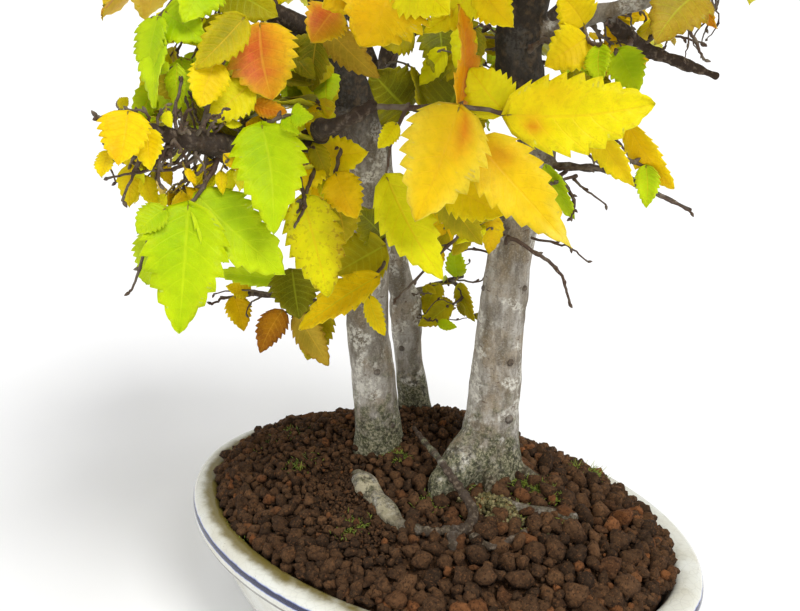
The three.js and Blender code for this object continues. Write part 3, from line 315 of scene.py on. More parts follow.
def tube(points: Array, radii: Array, sides: int, rounding: bool = True) -> Shape:
    """A round rod along a path, with rounded ends.

    Ring i is p + r (a cos q + b sin q), where a and b are carried along the path without twisting.

    Args:
        points: The path's points as rows.
        radii: The radius at each point.
        sides: Points of each ring.
        rounding: Whether the ends are domed.

    Returns:
        The closed shape.
    """
    along = unit(np.gradient(points, axis=0))
    across = np.zeros_like(along)
    helper = np.array([0.3, 1.0, 0.2])
    across[0] = unit(np.cross(helper, along[0]))
    for i in range(1, len(points)):
        kept = across[i - 1] - along[i] * np.dot(across[i - 1], along[i])
        across[i] = unit(kept)
    if rounding:
        dome = np.radians([75, 50, 25])
        head = points[0] - along[0] * radii[0] * np.sin(dome)[:, None] * 0.8
        tail = points[-1] + along[-1] * radii[-1] * np.sin(dome)[::-1, None] * 0.8
        start, end = points[0] - along[0] * radii[0] * 0.8, points[-1] + along[-1] * radii[-1] * 0.8
        points = np.vstack([head, points, tail])
        radii = np.concatenate([radii[0] * np.cos(dome), radii, radii[-1] * np.cos(dome)[::-1]])
        across = np.vstack([np.tile(across[0], (3, 1)), across, np.tile(across[-1], (3, 1))])
        along = np.vstack([np.tile(along[0], (3, 1)), along, np.tile(along[-1], (3, 1))])
    else:
        start, end = points[0], points[-1]
    over = np.cross(along, across)
    angle = 2 * np.pi * np.arange(sides) / sides
    spoke = across[:, None] * np.cos(angle)[None, :, None] + over[:, None] * np.sin(angle)[None, :, None]
    return ring_shape(points[:, None] + spoke * radii[:, None, None], start, end)


def to_object(name: str, shape: Shape, materials: Sequence[bpy.types.Material]) -> bpy.types.Object:
    """Put a shape into a mesh of the scene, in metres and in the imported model's frame.

    Args:
        name: The piece's name.
        shape: The shape in millimetres.
        materials: The finishes, in the order of the shape's finish numbers.

    Returns:
        The new object, at the origin.
    """
    mesh = bpy.data.meshes.new(name)
    mesh.vertices.add(len(shape.points))
    mesh.vertices.foreach_set("co", ((shape.points + POT_MIDDLE) * MM).astype(np.float32).ravel())
    corners = np.concatenate([shape.quads.ravel(), shape.tris.ravel()]).astype(np.int32)
    mesh.loops.add(len(corners))
    mesh.loops.foreach_set("vertex_index", corners)
    quad_starts = np.arange(len(shape.quads)) * 4
    tri_starts = len(shape.quads) * 4 + np.arange(len(shape.tris)) * 3
    mesh.polygons.add(len(shape.quads) + len(shape.tris))
    mesh.polygons.foreach_set("loop_start", np.concatenate([quad_starts, tri_starts]).astype(np.int32))
    slots = np.concatenate([shape.quad_slot, shape.tri_slot])
    mesh.polygons.foreach_set("material_index", slots.astype(np.int32))
    smooth = np.concatenate([~shape.flat, np.ones(len(shape.tris), bool)])
    mesh.polygons.foreach_set("use_smooth", smooth)
    mesh.update(calc_edges=True)
    layer = mesh.uv_layers.new(name="surface")
    spots = np.concatenate([shape.quad_uv.ravel(), shape.tri_uv.ravel()])
    layer.uv.foreach_set("vector", spots.astype(np.float32))
    tint = mesh.attributes.new("tint", "FLOAT_COLOR", "POINT")
    tint.data.foreach_set("color", shape.tint.astype(np.float32).ravel())
    for material in materials:
        mesh.materials.append(material)
    piece = bpy.data.objects.new(name, mesh)
    bpy.context.scene.collection.objects.link(piece)
    return piece


def declare(piece: bpy.types.Object, nodes: Sequence[str] = ()) -> bpy.types.Object:
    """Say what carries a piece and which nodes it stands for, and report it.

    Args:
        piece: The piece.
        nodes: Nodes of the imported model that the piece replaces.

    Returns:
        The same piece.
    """
    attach(piece, "root")
    if nodes:
        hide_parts(*nodes)
    LOG.info("%s: %d faces", piece.name, len(piece.data.polygons))
    return piece


# Finishes


class Shader:
    """A material's nodes, built by short calls. Patterns are in millimetres on Object coordinates."""

    def __init__(self, name: str) -> None:
        """Start a material with a plain surface shader.

        Args:
            name: The material's name.
        """
        self.material = bpy.data.materials.new(name)
        self.material.use_nodes = True
        self.tree = self.material.node_tree
        self.surface = self.tree.nodes["Principled BSDF"]
        self.place = self.node("ShaderNodeTexCoord").outputs["Object"]

    def node(self, kind: str, **settings: object) -> bpy.types.Node:
        """A new node with its settings.

        Args:
            kind: The node's kind.
            settings: Its settings by name.

        Returns:
            The node.
        """
        made = self.tree.nodes.new(kind)
        for key, value in settings.items():
            setattr(made, key, value)
        return made

    def feed(self, socket: Socket, value: object) -> None:
        """Link a socket to another's output, or set its own value."""
        if isinstance(value, bpy.types.NodeSocket):
            self.tree.links.new(value, socket)
        elif isinstance(value, (tuple, list, np.ndarray)) and socket.type == "RGBA":
            socket.default_value = (*[float(part) for part in value[:3]], 1.0)
        else:
            socket.default_value = value

    def set(self, **values: object) -> None:
        """Give inputs of the surface shader, named with low lines for blanks."""
        for key, value in values.items():
            self.feed(self.surface.inputs[key.replace("_", " ")], value)

    def stretched(self, x: float, y: float, z: float) -> Socket:
        """Object coordinates scaled along each axis.

        Args:
            x: The factor along x.
            y: The factor along y.
            z: The factor along z.

        Returns:
            The stretched place.
        """
        mapping = self.node("ShaderNodeMapping")
        self.feed(mapping.inputs["Vector"], self.place)
        mapping.inputs["Scale"].default_value = (x, y, z)
        return mapping.outputs[0]

    def noise(
        self, size: float, detail: float = 3.0, place: Socket | None = None, rough: float = 0.55
    ) -> Socket:
        """Cloudy noise whose features are so many millimetres across.

        Args:
            size: The features' size in millimetres.
            detail: How many finer layers there are.
            place: The place that it reads, if not the point itself.
            rough: How strong the finer layers are.

        Returns:
            The noise.
        """
        made = self.node("ShaderNodeTexNoise")
        self.feed(made.inputs["Vector"], place or self.place)
        made.inputs["Scale"].default_value = 1.0 / (size * MM)
        made.inputs["Detail"].default_value = detail
        made.inputs["Roughness"].default_value = rough
        return made.outputs[0]

    def cells(self, size: float) -> Socket:
        """Distance to the border between cells that are so many millimetres across, as a share of a cell.

        Args:
            size: The cells' size in millimetres.

        Returns:
            The distance, from 0 at the border.
        """
        made = self.node("ShaderNodeTexVoronoi", feature="DISTANCE_TO_EDGE")
        self.feed(made.inputs["Vector"], self.place)
        made.inputs["Scale"].default_value = 1.0 / (size * MM)
        return made.outputs[0]

    def maths(self, operation: str, first: object, second: object = 0.0) -> Socket:
        """The outcome of a sum on one or two numbers.

        Args:
            operation: The operation.
            first: The first value.
            second: The second value.

        Returns:
            The outcome.
        """
        made = self.node("ShaderNodeMath", operation=operation)
        self.feed(made.inputs[0], first)
        self.feed(made.inputs[1], second)
        return made.outputs[0]

    def times(self, first: object, second: object) -> Socket:
        """The product of two numbers."""
        return self.maths("MULTIPLY", first, second)

    def plus(self, first: object, second: object) -> Socket:
        """The sum of two numbers."""
        return self.maths("ADD", first, second)

    def minus(self, first: object, second: object) -> Socket:
        """The first number less the second."""
        return self.maths("SUBTRACT", first, second)

    def drift(self, size: float, detail: float, reach: float) -> Socket:
        """Cloudy noise that swings to both sides of zero: (n - 0.5) reach."""
        return self.times(self.minus(self.noise(size, detail), 0.5), reach)

    def step(self, value: Socket, low: float, high: float) -> Socket:
        """A soft step from 0 at low to 1 at high.

        Args:
            value: The value.
            low: Where it is 0.
            high: Where it is 1.

        Returns:
            The share from 0 to 1.
        """
        made = self.node("ShaderNodeMapRange", interpolation_type="SMOOTHSTEP")
        self.feed(made.inputs["Value"], value)
        made.inputs["From Min"].default_value = low
        made.inputs["From Max"].default_value = high
        return made.outputs[0]

    def patches(
        self,
        size: float,
        low: float,
        high: float,
        detail: float = 3.0,
        place: Socket | None = None,
        rough: float = 0.55,
    ) -> Socket:
        """Soft-edged patches: a soft step on cloudy noise.

        Args:
            size: The noise's features in millimetres.
            low: The noise at which the mask is 0.
            high: The noise at which the mask is 1.
            detail: How many finer layers the noise has.
            place: The coordinates, if they aren't the plain ones.
            rough: The strength of each finer layer.

        Returns:
            The mask.
        """
        return self.step(self.noise(size, detail, place, rough), low, high)

    def mix(self, share: object, first: object, second: object, blend: str = "MIX") -> Socket:
        """Two colours mixed by a share.

        Args:
            share: How much of the second colour there is.
            first: The first colour.
            second: The second colour.
            blend: How they are blended.

        Returns:
            The mixed colour.
        """
        made = self.node("ShaderNodeMix", data_type="RGBA", blend_type=blend)
        self.feed(made.inputs[0], share)
        self.feed(made.inputs[6], first)
        self.feed(made.inputs[7], second)
        return made.outputs[2]

    def over(self, colour: object, mask: Socket, share: float, top: Colour | Socket) -> Socket:
        """A colour with another over it where a mask is, so opaque as a share says."""
        laid = linear(*top) if isinstance(top, tuple) else top
        return self.mix(self.times(mask, share), colour, laid)

    def tint(self) -> bpy.types.Node:
        """The mesh's own colours."""
        return self.node("ShaderNodeAttribute", attribute_name="tint")

    def marks(self) -> list[Socket]:
        """The four numbers of the mesh's own colours.

        Returns:
            The red, the green, the blue and the fourth number.
        """
        tint = self.tint()
        parts = self.node("ShaderNodeSeparateColor")
        self.feed(parts.inputs[0], tint.outputs["Color"])
        return [parts.outputs[0], parts.outputs[1], parts.outputs[2], tint.outputs["Alpha"]]

    def relief(self, height: Socket, depth: float, strength: float = 1.0) -> None:
        """Raise the surface by a height of 0 to 1, so many millimetres deep.

        Args:
            height: The height's pattern.
            depth: Its depth in millimetres.
            strength: How much of it is felt, from 0 to 1.
        """
        bump = self.node("ShaderNodeBump")
        bump.inputs["Strength"].default_value = strength
        bump.inputs["Distance"].default_value = depth * MM
        self.feed(bump.inputs["Height"], height)
        self.feed(self.surface.inputs["Normal"], bump.outputs[0])


@dataclass(frozen=True)
class Glaze:
    """Cream crackled glaze with a blue line that runs out paler, a grey line and a stain inside the lip.

    The tint's red says how stained a point is, its green how blue and its blue how grey.
    """

    cream: Colour = (226, 227, 219)
    shade: Colour = (210, 207, 192)
    stain: Colour = (108, 94, 12)
    halo: Colour = (64, 104, 206)
    blue: Colour = (14, 18, 58)
    grey: Colour = (84, 78, 72)

    def material(self) -> bpy.types.Material:
        """Build the glaze.

        Returns:
            The finish.
        """
        shader = Shader("glazed_ceramic")
        stain, blue, grey, _ = shader.marks()
        colour = shader.mix(shader.patches(22, 0.35, 0.7), linear(*self.cream), linear(*self.shade))
        crackle = shader.step(shader.cells(3.4), 0.04, 0.0)
        colour = shader.over(colour, crackle, 0.1, (120, 112, 92))
        stained = shader.step(shader.plus(stain, shader.drift(7, 5, 1.0)), 0.1, 0.95)
        colour = shader.over(colour, stained, 0.95, self.stain)
        wobble = shader.drift(6, 4, 0.7)
        line = shader.plus(blue, wobble)
        colour = shader.over(colour, shader.step(line, 0.15, 0.5), 0.7, self.halo)
        colour = shader.over(colour, shader.step(line, 0.35, 0.66), 0.97, self.blue)
        colour = shader.over(colour, shader.step(shader.plus(grey, wobble), 0.2, 0.55), 0.8, self.grey)
        colour = shader.over(colour, shader.patches(1.6, 0.72, 0.78, 2), 0.5, (96, 80, 52))
        shader.set(Base_Color=colour, Roughness=0.26, Coat_Weight=0.35, Coat_Roughness=0.12)
        shader.relief(shader.minus(shader.noise(9), shader.times(crackle, 0.3)), 0.35, 0.6)
        return shader.material


@dataclass(frozen=True)
class Clay:
    """Baked clay granules: dull red-brown, lighter or darker from one granule to the next, rough, with
    near-black spots as painted shade in their pits.

    Attributes:
        name: The material's name.
        grit: Size of its light grains in millimetres.
        depth: Depth of its relief in millimetres.
    """

    name: str = "baked_clay"
    grit: float = 0.9
    depth: float = 1.1

    def material(self) -> bpy.types.Material:
        """Build the clay, its colour led by the tint.

        Returns:
            The finish.
        """
        shader = Shader(self.name)
        tint = shader.tint().outputs["Color"]
        dull = shader.mix(1.0, tint, (0.55, 0.5, 0.46), "MULTIPLY")
        colour = shader.mix(shader.patches(2.4, 0.3, 0.75, 4), tint, dull)
        colour = shader.over(colour, shader.patches(self.grit, 0.54, 0.7), 0.45, (148, 100, 62))
        # Near-black spots: painted shade in the pits.
        colour = shader.over(colour, shader.patches(1.3, 0.5, 0.36, 4, rough=0.7), 0.75, (29, 19, 12))
        shader.set(Base_Color=colour, Roughness=0.94, Specular_IOR_Level=0.2)
        shader.relief(shader.noise(1.7, 6, rough=0.75), self.depth, 1.0)
        return shader.material


@dataclass(frozen=True)
class Bark:
    """Smooth grey bark with brown flecks across it, pale lichen and green growth near the soil.

    The tint's red is how thick the limb is, its green how far it is darkened up high, partly darker bark
    and partly painted shade from the crown, its blue how mossy it is, and its fourth number whether it is a
    pale root.
    """

    grey: Colour = (184, 178, 168)
    warm: Colour = (124, 112, 92)
    dark: Colour = (62, 47, 36)
    fleck: Colour = (96, 66, 52)
    pale: Colour = (222, 218, 206)
    moss: Colour = (72, 76, 46)

    def material(self) -> bpy.types.Material:
        """Build the bark.

        Returns:
            The finish.
        """
        shader = Shader("grey_bark")
        thick, high, mossy, stump = shader.marks()
        flow = shader.stretched(1.0, 1.0, 0.35)
        colour = shader.mix(shader.patches(9, 0.38, 0.66, 4, flow), linear(*self.grey), linear(*self.warm))
        ochre = shader.patches(16, 0.5, 0.62, 4)
        colour = shader.over(colour, ochre, 0.45, (150, 130, 98))
        blotches = shader.patches(6.5, 0.48, 0.6, 6, flow, 0.65)
        colour = shader.over(colour, blotches, 0.55, (96, 88, 74))
        streaks = shader.patches(1.8, 0.46, 0.66, 6, flow, 0.7)
        colour = shader.over(colour, streaks, 0.5, (104, 94, 82))
        grain = shader.patches(0.9, 0.5, 0.64, 5, rough=0.75)
        colour = shader.over(colour, grain, 0.3, (78, 68, 54))
        pores = shader.patches(0.8, 0.5, 0.38, rough=0.7)
        colour = shader.over(colour, pores, 0.16, (226, 222, 212))
        lichen = shader.times(shader.patches(12, 0.5, 0.6), shader.patches(1.5, 0.44, 0.56, 5, rough=0.7))
        colour = shader.over(colour, lichen, 0.85, self.pale)
        flecks = shader.patches(1.7, 0.66, 0.73, 2, shader.stretched(0.6, 0.6, 2.1))
        colour = shader.over(colour, flecks, 0.8, self.fleck)
        damp = shader.plus(mossy, shader.drift(5, 5, 1.5))
        growth = shader.times(shader.step(damp, 0.15, 0.6), 0.9)
        cushions = shader.patches(1.1, 0.44, 0.6, 5, rough=0.7)
        colour = shader.mix(growth, colour, shader.mix(cushions, linear(*self.moss), linear(158, 152, 124)))
        sooty = shader.times(shader.patches(2.4, 0.5, 0.6, 5, rough=0.7), shader.step(mossy, 0.15, 0.5))
        colour = shader.over(colour, sooty, 0.75, (40, 38, 28))
        bare = shader.times(shader.patches(4.2, 0.45, 0.56, 6, rough=0.7), stump)
        colour = shader.over(colour, bare, 0.85, (206, 196, 164))
        # Darkening high up: partly the upper bark's darker brown and partly painted shade from the crown.
        dark_bark_and_shade = shader.mix(shader.patches(2.6, 0.45, 0.7, 5), linear(26, 18, 10), linear(72, 56, 36))
        colour = shader.over(colour, high, 0.93, dark_bark_and_shade)
        worn = shader.mix(shader.patches(2.2, 0.5, 0.7, 4), linear(*self.dark), linear(122, 106, 90))
        colour = shader.over(colour, shader.minus(1.0, thick), 0.9, worn)
        shader.set(Base_Color=colour, Roughness=0.82, Specular_IOR_Level=0.3)
        rough = shader.plus(shader.noise(1.2, 6, flow, 0.65), shader.times(flecks, -0.3))
        shader.relief(shader.plus(rough, shader.times(growth, shader.noise(0.9))), 0.9, 1.0)
        return shader.material


@dataclass(frozen=True)
class Twig:
    """Thin red-brown bark of twigs and buds, with pale pores."""

    brown: Colour = (72, 50, 34)
    grey: Colour = (106, 94, 78)

    def material(self) -> bpy.types.Material:
        """Build the twigs' bark.

        Returns:
            The finish.
        """
        shader = Shader("twig_bark")
        colour = shader.mix(shader.patches(6, 0.4, 0.65, 4), linear(*self.brown), linear(*self.grey))
        colour = shader.over(colour, shader.patches(0.8, 0.66, 0.72, 2), 0.5, (168, 146, 124))
        shader.set(Base_Color=colour, Roughness=0.66)
        shader.relief(shader.noise(0.7, 4), 0.2, 0.7)
        return shader.material


@dataclass(frozen=True)
class LeafFinish:
    """Leaf skin: the tint's colour, with a rib, side veins that run to the teeth, mottling and brown specks.

    Attributes:
        name: The material's name.
        vein: Colour that the veins lean to.
        pairs: Side veins on each half.
        gloss: Roughness of the skin.
    """

    name: str
    vein: Colour
    pairs: float = 8.0
    gloss: float = 0.45

    def material(self) -> bpy.types.Material:
        """Build the leaf skin on the blade's own map: u along the rib, v across it.

        Returns:
            The finish.
        """
        shader = Shader(self.name)
        tint = shader.tint()
        axes = shader.node("ShaderNodeSeparateXYZ")
        shader.feed(axes.inputs[0], shader.node("ShaderNodeUVMap", uv_map="surface").outputs[0])
        off = shader.maths("ABSOLUTE", shader.minus(shader.times(axes.outputs[1], 2.0), 1.0))
        bow = shader.times(shader.maths("POWER", off, 1.3), 0.2)
        phase = shader.times(shader.minus(axes.outputs[0], bow), self.pairs)
        near = shader.maths("ABSOLUTE", shader.minus(shader.maths("FRACT", phase), 0.5))
        side = shader.times(shader.step(near, 0.1, 0.0), 0.62)
        rib = shader.step(off, 0.07, 0.015)
        net = shader.times(shader.step(shader.cells(1.1), 0.09, 0.0), 0.35)
        veins = shader.maths("MAXIMUM", rib, shader.maths("MAXIMUM", side, net))
        skin = tint.outputs["Color"]
        shade = shader.mix(1.0, skin, (0.72, 0.74, 0.5), "MULTIPLY")
        skin = shader.over(skin, shader.patches(5, 0.32, 0.72, 4), 0.5, shade)
        skin = shader.over(skin, veins, 0.34, self.vein)
        spots = shader.times(shader.patches(1.5, 0.55, 0.63), tint.outputs["Alpha"])
        skin = shader.over(skin, spots, 0.9, (112, 62, 22))
        shader.set(Base_Color=skin, Roughness=self.gloss, Specular_IOR_Level=0.12)
        shader.set(Subsurface_Weight=0.3, Subsurface_Scale=0.001)
        shader.surface.inputs["Subsurface Radius"].default_value = (1.0, 0.8, 0.15)
        quilt = shader.times(shader.maths("SINE", shader.times(phase, 2 * math.pi)), 0.25)
        shader.relief(shader.plus(shader.times(veins, -0.6), quilt), 0.3, 0.6)
        return shader.material


@dataclass(frozen=True)
class Moss:
    """Moss and grass blades: fresh green, lighter or darker from blade to blade."""

    def material(self) -> bpy.types.Material:
        """Build the moss.

        Returns:
            The finish.
        """
        shader = Shader("fresh_moss")
        colour = shader.over(shader.tint().outputs["Color"], shader.noise(1.2), 0.5, (60, 76, 22))
        shader.set(Base_Color=colour, Roughness=0.6)
        shader.relief(shader.noise(0.5), 0.1, 0.5)
        return shader.material


@dataclass(frozen=True)
class NetPlastic:
    """Dark moulded mesh plastic with a fine matt grain and soil dust."""

    def material(self) -> bpy.types.Material:
        """Build the plastic.

        Returns:
            The finish.
        """
        shader = Shader("net_plastic")
        colour = shader.over(linear(34, 37, 41), shader.patches(4, 0.5, 0.75, 4), 0.6, (88, 58, 42))
        shader.set(Base_Color=colour, Roughness=0.5)
        shader.relief(shader.noise(0.6), 0.1, 0.5)
        return shader.material


@dataclass(frozen=True)
class Paper:
    """The plain pale floor."""

    def material(self) -> bpy.types.Material:
        """Build the floor's finish.

        Returns:
            The finish.
        """
        shader = Shader("pale_floor")
        colour = shader.mix(shader.noise(60, 2), linear(250, 250, 250), linear(247, 247, 248))
        shader.set(Base_Color=colour, Roughness=0.9, Specular_IOR_Level=0.1)
        return shader.material


class Hue(Enum):
    """The finish of a spray."""

    LIME = "leaf_lime"
    GREEN = "leaf_green"
    YELLOW = "leaf_yellow"
    ORANGE = "leaf_orange"
    BARK = "bark"


@dataclass(frozen=True)
class Patch:
    """A soft patch of another colour on a leaf.

    Attributes:
        colour: Its screen colour.
        along: Where its middle is along the rib, from 0 at the stalk to 1 at the tip.
        across: Where it is across the blade, from -1 to 1.
        long: Its reach along, as a share of the length.
        wide: Its reach across, as a share of the half-width.
        strength: How fully it covers.
    """

    colour: Colour
    along: float
    across: float
    long: float
    wide: float
    strength: float = 0.9


class Look(Enum):
    """How a leaf has turned: the blade's colour, its margin's, how speckled it is, and its patches."""

    LIME = ((178, 206, 2), (196, 216, 8), 0.08, (Patch((150, 192, 4), 0.25, 0.4, 0.3, 0.5, 0.6),))
    GREEN = ((188, 212, 12), (196, 218, 20), 0.08, (Patch((140, 182, 10), 0.3, -0.4, 0.4, 0.6, 0.6),))
    FOREST = ((124, 122, 3), (140, 134, 6), 0.12, (Patch((78, 88, 4), 0.4, 0.3, 0.4, 0.6, 0.6),))
    OLIVE = ((178, 164, 4), (194, 178, 10), 0.15, (Patch((122, 124, 4), 0.35, 0.3, 0.4, 0.6, 0.6),))
    LEMON_LIME = ((240, 232, 6), (242, 234, 20), 0.12, (Patch((206, 212, 4), 0.45, 0.3, 0.4, 0.5, 0.5),))
    LEMON = ((240, 224, 6), (246, 232, 24), 0.08, (Patch((214, 208, 6), 0.3, 0.4, 0.3, 0.5, 0.6),))
    YELLOW = ((246, 212, 4), (252, 226, 14), 0.15, (Patch((232, 190, 4), 0.5, -0.4, 0.3, 0.5, 0.5),))
    SPOTTED = ((224, 218, 2), (210, 202, 6), 0.6, (Patch((150, 118, 12), 0.55, -0.95, 0.35, 0.35, 0.7),))
    GOLD = ((248, 200, 4), (250, 212, 10), 0.2, (Patch((232, 170, 8), 0.7, 0.5, 0.3, 0.5, 0.6),))
    AMBER = ((240, 198, 6), (244, 208, 10), 0.3, (Patch((208, 158, 6), 0.6, -0.6, 0.4, 0.5, 0.6),))
    ORANGE = ((228, 148, 10), (238, 178, 16), 0.3, (Patch((204, 104, 16), 0.5, 0.4, 0.4, 0.5, 0.7),))
    TAN = ((196, 164, 48), (176, 142, 34), 0.35, (Patch((140, 128, 24), 0.4, 0.3, 0.4, 0.6, 0.6),))
    BROWN = ((176, 112, 18), (150, 88, 14), 0.6, (Patch((216, 156, 14), 0.3, 0.2, 0.3, 0.5, 0.6),))
    SCARLET = (
        (224, 152, 24),
        (236, 196, 20),
        0.25,
        (Patch((206, 84, 40), 0.36, 0.3, 0.26, 0.5), Patch((214, 102, 70), 0.62, 0.5, 0.2, 0.4, 0.8)),
    )
    PATCHED = (
        (248, 204, 8),
        (250, 220, 60),
        0.12,
        (
            Patch((216, 84, 24), 0.2, -0.24, 0.16, 0.14, 0.95),
            Patch((196, 122, 10), 0.42, -0.06, 0.2, 0.05, 0.6),
        ),
    )
    LEMON_WARM = (
        (244, 226, 4),
        (248, 232, 20),
        0.2,
        (
            Patch((206, 112, 14), 0.17, 0.3, 0.09, 0.35, 0.85),
            Patch((238, 196, 6), 0.3, -0.6, 0.25, 0.4, 0.6),
        ),
    )
    GOLD_SHADED = (
        (236, 196, 12),
        (240, 206, 40),
        0.12,
        (
            Patch((204, 128, 16), 0.16, -0.2, 0.12, 0.35, 0.7),
            Patch((240, 226, 110), 0.97, 0.0, 0.12, 1.0, 0.8),
        ),
    )


# The pot


@dataclass
class Pot:
    """An oval bowl with a rounded lip over a band, four curved feet and two drain holes.

    Sizes are in millimetres; insets are counted inwards from the lip's outer edge.
    """

    long: float = 240
    wide: float = 162
    high: float = 62
    lip: float = 12
    band: float = 11
    foot: float = 8
    floor: float = 5
    inset_top: float = 7.5
    inset_foot: float = 22
    drain_radius: float = 7
    drain_x: float = 42
    around: int = 176
    feet: tuple[tuple[float, float], ...] = ((27.5, 60.5), (119.5, 152.5), (207.5, 240.5), (299.5, 332.5))

    def oval(self, inset: Array, height: Array, angle: Array) -> Array:
        """Points of the oval: x = (r + (long - wide)/2 min(1, 4r/wide)) cos q, y = r sin q.

        Here r = wide/2 - inset.

        Args:
            inset: Insets, in any shape.
            height: Heights, in the same shape.
            angle: Angles in radians, in the same shape.

        Returns:
            The points, with their three coordinates last.
        """
        reach = self.wide / 2 - inset
        stretch = (self.long - self.wide) / 2 * np.minimum(1, reach / (self.wide / 4))
        return np.stack([(reach + stretch) * np.cos(angle), reach * np.sin(angle), height], -1)

    def inner_inset(self, height: float) -> float:
        """The inset of the inner wall at a height: it opens as the root of the share of the height.

        Args:
            height: A height over the ground.

        Returns:
            The inset of the inner wall there.
        """
        share = (height - self.foot - self.floor) / (self.high - self.foot - self.floor)
        low, high = self.inset_foot + 6, self.lip + 1.5
        return low + (high - low) * math.sqrt(max(0.0, share))

    def profile(self) -> Array:
        """The wall's profile from the middle of the underside, round the lip, to the middle of the floor.

        Its corners are cut three times: each side p, q gives 3p/4 + q/4 and p/4 + 3q/4. The painted part
        near the lip has rows 0.6 mm apart.

        Returns:
            Rows of inset and height.
        """
        half, floor, band = self.wide / 2, self.foot + self.floor, self.high - self.band
        line = np.array(
            [
                [half, self.foot],
                [self.inset_foot + 2, self.foot],
                [self.inset_foot - 2, self.foot + 3],
                [self.inset_foot - 8, self.foot + 16],
                [self.inset_top + 1.5, self.foot + 32],
                [self.inset_top - 1, band - 0.6],
                [0.9, band + 0.2],
                [-0.1, band + 2.5],
                [-0.1, self.high - 3.5],
                [1.2, self.high - 0.6],
                [4.5, self.high + 0.1],
                [self.lip - 2, self.high - 0.2],
                [self.lip, self.high - 2],
                [self.inner_inset(self.high - 10), self.high - 10],
                [self.inner_inset(floor + 12), floor + 12],
                [self.inset_foot + 9, floor],
                [half, floor],
            ]
        )
        for _ in range(3):
            near = 0.75 * line[:-1] + 0.25 * line[1:]
            far = 0.25 * line[:-1] + 0.75 * line[1:]
            line = np.vstack([line[:1], np.stack([near, far], 1).reshape(-1, 2), line[-1:]])
        rows = []
        for start, end in zip(line[:-1], line[1:]):
            painted = start[1] > band - 3 and start[0] < 12
            steps = max(1, int(np.linalg.norm(end - start) / 0.6)) if painted else 1
            rows.append(np.linspace(start, end, steps, endpoint=False))
        return np.vstack([*rows, line[-1:]])

    def marks(self, inset: Array, height: Array, outside: Array) -> Array:
        """How stained, how blue and how grey the glaze is at each point.

        Each mark is a bell exp(-((z - z0)/w)^2) over the height, or over the inset for the stain.

        Args:
            inset: Insets of the points.
            height: Heights of the points.
            outside: Whether each point is on the outer side.

        Returns:
            The tint's rows.
        """
        stain = np.clip((inset - 2.0) / 5.5, 0, 1) * np.where(outside & (height < self.high - 2), 0.0, 1.0)
        blue = np.where(outside, np.exp(-(((height - (self.high - 3.7)) / 1.5) ** 2)), 0.0)
        grey = np.where(outside, np.exp(-(((height - (self.high - self.band + 1.7)) / 1.1) ** 2)), 0.0)
        return np.stack([stain, blue, grey, np.zeros_like(stain)], 1)

    def bowl(self) -> Shape:
        """The bowl as one closed surface, more stained on its left than on its right.

        Returns:
            The shape.
        """
        line = self.profile()
        angle = 2 * np.pi * np.arange(self.around) / self.around
        body = line[1:-1]
        rings = self.oval(
            np.broadcast_to(body[:, :1], (len(body), self.around)),
            np.broadcast_to(body[:, 1:], (len(body), self.around)),
            np.broadcast_to(angle, (len(body), self.around)),
        )
        start, end = np.array([0, 0, self.foot]), np.array([0, 0, self.foot + self.floor])
        shape = ring_shape(rings[:, ::-1], start, end)
        top = int(np.argmax(body[:, 1]))
        outside = np.repeat(np.arange(len(body)) <= top + 2, self.around)
        insets, heights = np.repeat(body[:, 0], self.around), np.repeat(body[:, 1], self.around)
        tint = self.marks(insets, heights, outside)
        x, y = rings[:, ::-1].reshape(-1, 3)[:, :2].T
        tint[:, 0] *= np.clip(0.62 - 0.006 * (0.99 * x + 0.3 * y), 0.22, 1)
        shape.tint = np.vstack([tint, np.zeros((2, 4))])
        return shape

    def one_foot(self, first: float, last: float) -> Shape:
        """A foot: a block carried round the oval between two angles, drawn in towards both of its ends.

        Args:
            first: Its first angle in degrees.
            last: Its last angle in degrees.

        Returns:
            The closed shape.
        """
        inset = self.inset_foot + np.array([0.5, 1.5, 3.2, 5.0, 9.0, 11.0, 12.3, 12.8, 12.0, 1.0])
        top = self.foot + 2
        height = np.array([top, 3.5, 0.7, 0.0, 0.0, 0.7, 3.5, top, top + 0.6, top + 0.6])
        share = np.linspace(0, 1, 25)
        angle = np.radians(first + (last - first) * share)
        draw = np.sqrt(np.clip(np.minimum(share, 1 - share) / 0.07, 0, 1))
        middle = inset.mean()
        insets = middle + (inset - middle)[None] * (0.55 + 0.45 * draw[:, None])
        heights = top + (height - top)[None] * (0.8 + 0.2 * draw[:, None])
        rings = self.oval(insets, heights, np.broadcast_to(angle[:, None], insets.shape))
        shape = ring_shape(rings[:, ::-1], rings[0].mean(0), rings[-1].mean(0))
        return shape.tinted(np.array([0.0, 0.0, 0.0]))

    def build(self, glaze: bpy.types.Material) -> list[bpy.types.Object]:
        """Make the bowl, cut its drain holes, and make the feet.

        Args:
            glaze: The pot's finish.

        Returns:
            The bowl and the feet.
        """
        pot = to_object("oval_pot", self.bowl(), [glaze])
        for side in (-1, 1):
            middle = np.array([side * self.drain_x, 0, 0])
            ends = middle + np.array([[0, 0, self.foot - 4], [0, 0, self.foot + self.floor + 4]])
            radii = np.full(2, float(self.drain_radius))
            cutter = to_object("drain_cutter", tube(ends, radii, 40, rounding=False), [glaze])
            cut_from(pot, cutter)
        feet = to_object("pot_feet", joined([self.one_foot(*span) for span in self.feet]), [glaze])
        return [declare(pot, ["pot"]), declare(feet, ["pot"])]


def cut_from(piece: bpy.types.Object, cutter: bpy.types.Object) -> None:
    """Cut one object's room out of another, and drop the cutter.

    Args:
        piece: The piece that is cut.
        cutter: The piece that cuts it.
    """
    cut = piece.modifiers.new("cut", "BOOLEAN")
    cut.operation = "DIFFERENCE"
    cut.solver = "EXACT"
    cut.object = cutter
    settle(piece)
    bpy.data.objects.remove(cutter)


